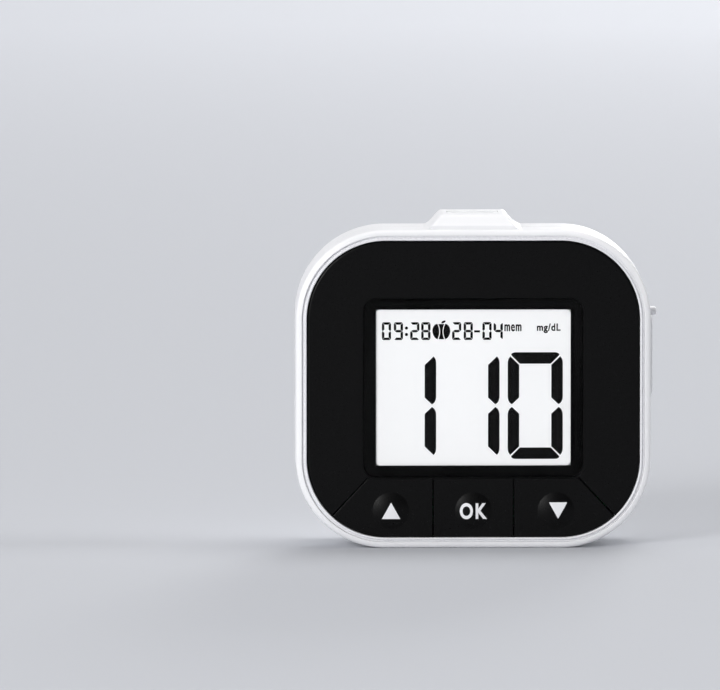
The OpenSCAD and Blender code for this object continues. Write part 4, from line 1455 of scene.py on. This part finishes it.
class METER_OT_door(Operator):
    """Battery door, its latch and the two cells"""

    bl_idname = "meter.door"
    bl_label = "Battery door and cells"

    def execute(self, context):
        self.make_door()
        self.make_latch()
        for name, tip in (("battery_upper", -1), ("battery_lower", 1)):
            self.make_cell(name, tip)
        return {"FINISHED"}

    def make_door(self):
        """The battery door: its plate with the latch's well and grip grooves, barrel and lugs."""
        inner, well_half, well_deep = BACK_Y - DOOR_T, 6.2, 3.9
        door = block((-DOOR_HALF, inner, HINGE_Z), (DOOR_HALF, BACK_Y, DOOR_TOP))
        well = block(
            (-well_half, inner - 1, DOOR_TOP - well_deep), (well_half, BACK_Y + 1, DOOR_TOP + 6)
        )
        cut(door, well)
        grips, long, half, grip_y, grip_z, pitch = [], 6, 0.35, BACK_Y - 0.35, DOOR_TOP - 5.75, 1.5
        for i in range(3):
            z = grip_z - pitch * i
            grip = block((-long, grip_y, z - half), (long, BACK_Y + 0.5, z + half))
            round_edges(grip, lambda e: in_plane(e, 1, grip_y), 0.2, 3)
            grips.append(grip)
        cut(door, *grips)
        # The back edge is rounded but for its foot, which runs into the barrel.
        edge_round = 0.1
        round_edges(
            door, lambda e: in_plane(e, 1, BACK_Y) and middle_z(e) > HINGE_Z + 0.1, edge_round, 2
        )
        lug_end, lug_radius = DOOR_HALF + DOOR_LUG, 0.7
        barrel = bar((-DOOR_HALF, HINGE_Y, HINGE_Z), (DOOR_HALF, HINGE_Y, HINGE_Z), DOOR_BARREL, 64)
        lugs = bar((-lug_end, HINGE_Y, HINGE_Z), (lug_end, HINGE_Y, HINGE_Z), lug_radius, 32)
        weld(door, barrel, lugs)
        finish(door, "door_cover", "battery_door", "white_abs", ["battery_door"])

    def make_latch(self):
        """The sliding tab in the door's well, and its hook behind the keeper."""
        half, inner, foot, edge_round = 6, BACK_Y - DOOR_T, DOOR_TOP - 2.7, 0.08
        latch = block((-half, inner, foot), (half, BACK_Y, DOOR_TOP))
        # Two finger ridges are left between three grooves.
        long, groove_y, groove_z, pitch = 5.2, BACK_Y - 0.25, foot + 0.6, 0.75
        for i in range(3):
            z = groove_z + pitch * i
            groove = block((-long, groove_y, z - 0.2), (long, BACK_Y + 0.5, z + 0.2))
            round_edges(groove, lambda e: in_plane(e, 1, groove_y), 0.12, 2)
            cut(latch, groove)
        round_edges(latch, lambda e: in_plane(e, 1, BACK_Y), edge_round, 2)
        hook_half, hook_y, nose_top = 5.7, inner - 1.3, DOOR_TOP + 0.78
        hook = block((-hook_half, hook_y, DOOR_TOP - 1.2), (hook_half, inner + LAP, DOOR_TOP))
        nose = block((-hook_half, hook_y, DOOR_TOP - LAP), (hook_half, inner - 0.2, nose_top))
        round_edges(nose, lambda e: in_plane(e, 2, nose_top) and in_plane(e, 1, hook_y), 0.35, 4)
        weld(latch, hook, nose)
        finish(latch, "latch_tab", "door_latch", "white_abs", ["door_latch"])

    def make_cell(self, name, tip):
        """A cell: a shrink-wrapped can with rolled shoulders, and its steel cap and foot.

        Tip is the side that the cap points to, 1 for the right and -1 for the left.
        """
        low, high = node_box(name)
        y, z, radius = CELL_Y, CELL_ZS[name], (high.z - low.z) / 2
        foot, cap = (low.x, high.x) if tip > 0 else (high.x, low.x)
        # The can's foot is rolled round the disc, and its shoulder stands below the cap.
        can_foot, shoulder = foot + tip * 0.25, cap - tip
        can_round, fold, fold_deep = 0.6, 0.5, 0.15
        can = bar((can_foot, y, z), (shoulder, y, z), radius, 64)
        round_edges(
            can, lambda e: in_plane(e, 0, can_foot) or in_plane(e, 0, shoulder), can_round, 5
        )
        push_in(can, facing(0, tip), fold, (-tip * fold_deep, 0, 0))
        finish(can, name + "_can", "housing", "cell_jacket", [name])

        disc_radius, nub_radius, ring_radius, sunk = 3.9, 1.9, 3.6, 0.4
        disc = bar((foot, y, z), (foot + tip * 0.5, y, z), disc_radius, 48)
        round_edges(disc, lambda e: in_plane(e, 0, foot), 0.2, 3)
        nub = bar((shoulder - tip * sunk, y, z), (cap, y, z), nub_radius, 48)
        round_edges(nub, lambda e: in_plane(e, 0, cap), 0.35, 4)
        ring = bar((shoulder - tip * sunk, y, z), (shoulder - tip * 0.05, y, z), ring_radius, 48)
        weld(nub, ring)
        finish(joined([disc, nub]), name + "_poles", "housing", "plated_steel")

        # A plus near the cap and a minus near the foot, printed on the side that faces the door.
        marks, arm, half, ink, outside, skin_y = [], 1.1, 0.22, 0.008, y + radius + 1, y + 4.6
        for x, shape in ((cap - tip * 6, "+"), (foot + tip * 5, "-")):
            mark = block((x - arm, y, z - half), (x + arm, outside, z + half))
            if shape == "+":
                weld(mark, block((x - half, y, z - arm), (x + half, outside, z + arm)))
            keep(mark, bar((low.x, y, z), (high.x, y, z), radius + ink, 96))
            trim(mark, (0, skin_y, 0), (0, -1, 0))
            marks.append(mark)
        finish(joined(marks), name + "_marks", "housing", "ink")


class METER_OT_inside(Operator):
    """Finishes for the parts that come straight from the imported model"""

    bl_idname = "meter.inside"
    bl_label = "Inner parts"

    def execute(self, context):
        for finish_name, nodes in INNER_FINISHES.items():
            for node in nodes:
                for slot in bpy.data.objects[node].material_slots:
                    slot.material = MATERIALS[finish_name]
        return {"FINISHED"}


# Finish of each node that stays as packed.
INNER_FINISHES = {
    "mask": ["display_mask"],
    "nylon": ["up_switch_plunger", "ok_switch_plunger", "down_switch_plunger", "strip_connector"],
    "switch_body": ["tact_switches"],
    "reflector": ["lcd_reflector"],
    "frame_plastic": ["lcd_frame"],
    "contact_rubber": ["contact_strip_upper", "contact_strip_lower"],
    "solder_mask": ["main_board"],
    "chip_epoxy": ["microcontroller", "buzzer", "data_port_core"],
    "ceramic": ["board_components"],
    "gold_plate": ["strip_contacts"],
    "plated_steel": [
        "battery_spring_upper",
        "battery_spring_lower",
        "battery_terminals",
        "battery_bridge",
    ],
    "zinc_screw": ["housing_screws", "board_screws"],
    "label_film": ["blank_label"],
}


# ---------------------------------------------------------------------------- stage

# Each lamp's name, place and size in metres, and power in watts.
SOFTBOXES = (
    ("key_softbox", (-1.1, -1.8, 0.73), 0.8, 27.2),
    ("glint_softbox", (-0.62, -1.9, 0.23), 0.44, 2.4),
    ("left_softbox", (-3.19, -0.29, 1.29), 1.16, 20.0),
    ("right_softbox", (2.2, 0.0, 0.9), 0.8, 14.8),
    ("top_softbox", (0.5, 0.7, 2.77), 2.0, 38.5),
    ("back_softbox", (0.5, 2.2, 0.7), 0.6, 12.0),
)


class METER_OT_stage(Operator):
    """Floor, backdrop, lamps and camera"""

    bl_idname = "meter.stage"
    bl_label = "Studio"

    def execute(self, context):
        self.lay_floor(context)
        self.fill_air(context)
        for name, place, size, power in SOFTBOXES:
            self.hang_lamp(name, place, size, power)
        self.set_camera(context)
        context.scene.view_settings.view_transform = "Standard"
        return {"FINISHED"}

    def lay_floor(self, context):
        """A pale floor, in metres, with a high sweep at the back and a low one at the left.

        The sweeps keep any view from looking past the floor's edge.
        """
        wide, deep, left_x, back_y = 14.6, 12.0, -2.6, 2.6
        deselect_all()
        bpy.ops.mesh.primitive_plane_add(size=1, location=(0, 0, 0))
        floor = bpy.context.object
        floor.scale = (wide, deep, 1)
        floor.location = (left_x + wide / 2, back_y - deep / 2, 0)
        settle(floor)
        self.turn_up(floor, axis=1, place=back_y, height=2.0, bend=1.0)
        self.turn_up(floor, axis=0, place=left_x, height=0.2, bend=0.18)
        activate(floor)
        bpy.ops.object.shade_smooth()
        floor.name = "studio_sweep"
        floor.data.materials.append(stage_material(context.scene.meter_colours))

    def turn_up(self, floor, axis, place, height, bend):
        """Raises a wall on the floor's edge that lies at a place on one axis, with a round bend."""

        def foot(edge):
            return in_plane(edge, axis, place) and in_plane(edge, 2, 0)

        edit(floor)
        select(floor, "edges", foot)
        bpy.ops.mesh.extrude_region_move(TRANSFORM_OT_translate={"value": (0, 0, height)})
        leave()
        round_edges(floor, foot, bend, 24)

    def fill_air(self, context):
        """Pale walls all round, lighter on the key lamp's side and darker on the right."""
        world = bpy.data.worlds.new("studio_air")
        world.use_nodes = True
        context.scene.world = world
        place = add_node(world, "ShaderNodeTexCoord")
        across = add_node(world, "ShaderNodeSeparateXYZ", {}, {"Vector": (place, "Generated")})
        level = add_node(
            world,
            "ShaderNodeMapRange",
            {
                "interpolation_type": "SMOOTHSTEP",
                "From Min": -0.45,
                "From Max": 0.35,
                "To Min": 0.36,
                "To Max": 0.09,
            },
            {"Value": (across, "X")},
        )
        background = world.node_tree.nodes["Background"]
        feed(world, level, "Result", background, "Strength")
        background.inputs["Color"].default_value = (0.97, 0.97, 1, 1)

    def hang_lamp(self, name, place, size, power):
        """A square softbox that looks at the meter."""
        deselect_all()
        bpy.ops.object.light_add(type="AREA", location=place)
        lamp = bpy.context.object
        lamp.name = lamp.data.name = name
        lamp.data.size = size
        lamp.data.energy = power
        aim = Vector((0, 0, 0.03)) - Vector(place)
        lamp.rotation_euler = aim.to_track_quat("-Z", "Y").to_euler()

    def set_camera(self, context):
        """A long lens far off, a little left of the meter and above it.

        The meter stands right of and below the middle of the view, so the camera aims beside and
        above it. The view is 720 pixels wide, and one of them is 0.196 mm at the meter.
        """
        azimuth, elevation, distance = math.radians(-1.5), math.radians(5.0), 3.0
        view_px, pixel, sensor_mm = 720, 0.196 * MM, 36
        right_by, below_by = 113.5, 44.2
        target = Vector((0, FRONT_Y, MID_Z)) * MM
        back = Vector((math.sin(azimuth), -math.cos(azimuth), 0)) * math.cos(elevation)
        back.z = math.sin(elevation)
        right = Vector((math.cos(azimuth), math.sin(azimuth), 0))
        aim = target + (below_by * back.cross(right) - right_by * right) * pixel
        deselect_all()
        bpy.ops.object.camera_add(location=target + distance * back)
        camera = bpy.context.object
        camera.name = "camera"
        camera.rotation_euler = (aim - camera.location).to_track_quat("-Z", "Y").to_euler()
        camera.data.sensor_width = sensor_mm
        camera.data.lens = sensor_mm * distance / (view_px * pixel)
        camera.data.clip_start = 0.01
        context.scene.camera = camera


class METER_PT_panel(Panel):
    """Lists the pieces of the meter"""

    bl_idname = "METER_PT_panel"
    bl_label = "Blood Glucose Meter"
    bl_space_type = "VIEW_3D"
    bl_region_type = "UI"
    bl_category = "Meter"

    def draw(self, context):
        for step in STEPS:
            self.layout.operator(step.bl_idname)


STEPS = (
    METER_OT_housing,
    METER_OT_face,
    METER_OT_display,
    METER_OT_port,
    METER_OT_door,
    METER_OT_inside,
    METER_OT_stage,
)
CLASSES = (MeterSizes, MeterColours, *STEPS, METER_PT_panel)


def register():
    for each in CLASSES:
        bpy.utils.register_class(each)
    bpy.types.Scene.meter_sizes = PointerProperty(type=MeterSizes)
    bpy.types.Scene.meter_colours = PointerProperty(type=MeterColours)


def unregister():
    del bpy.types.Scene.meter_colours
    del bpy.types.Scene.meter_sizes
    for each in reversed(CLASSES):
        bpy.utils.unregister_class(each)


def main():
    """Builds everything."""
    register()
    make_materials(bpy.context.scene.meter_colours)
    bpy.ops.meter.housing()
    bpy.ops.meter.face()
    bpy.ops.meter.display()
    bpy.ops.meter.port()
    bpy.ops.meter.door()
    bpy.ops.meter.inside()
    bpy.ops.meter.stage()


if __name__ == "__main__":
    main()
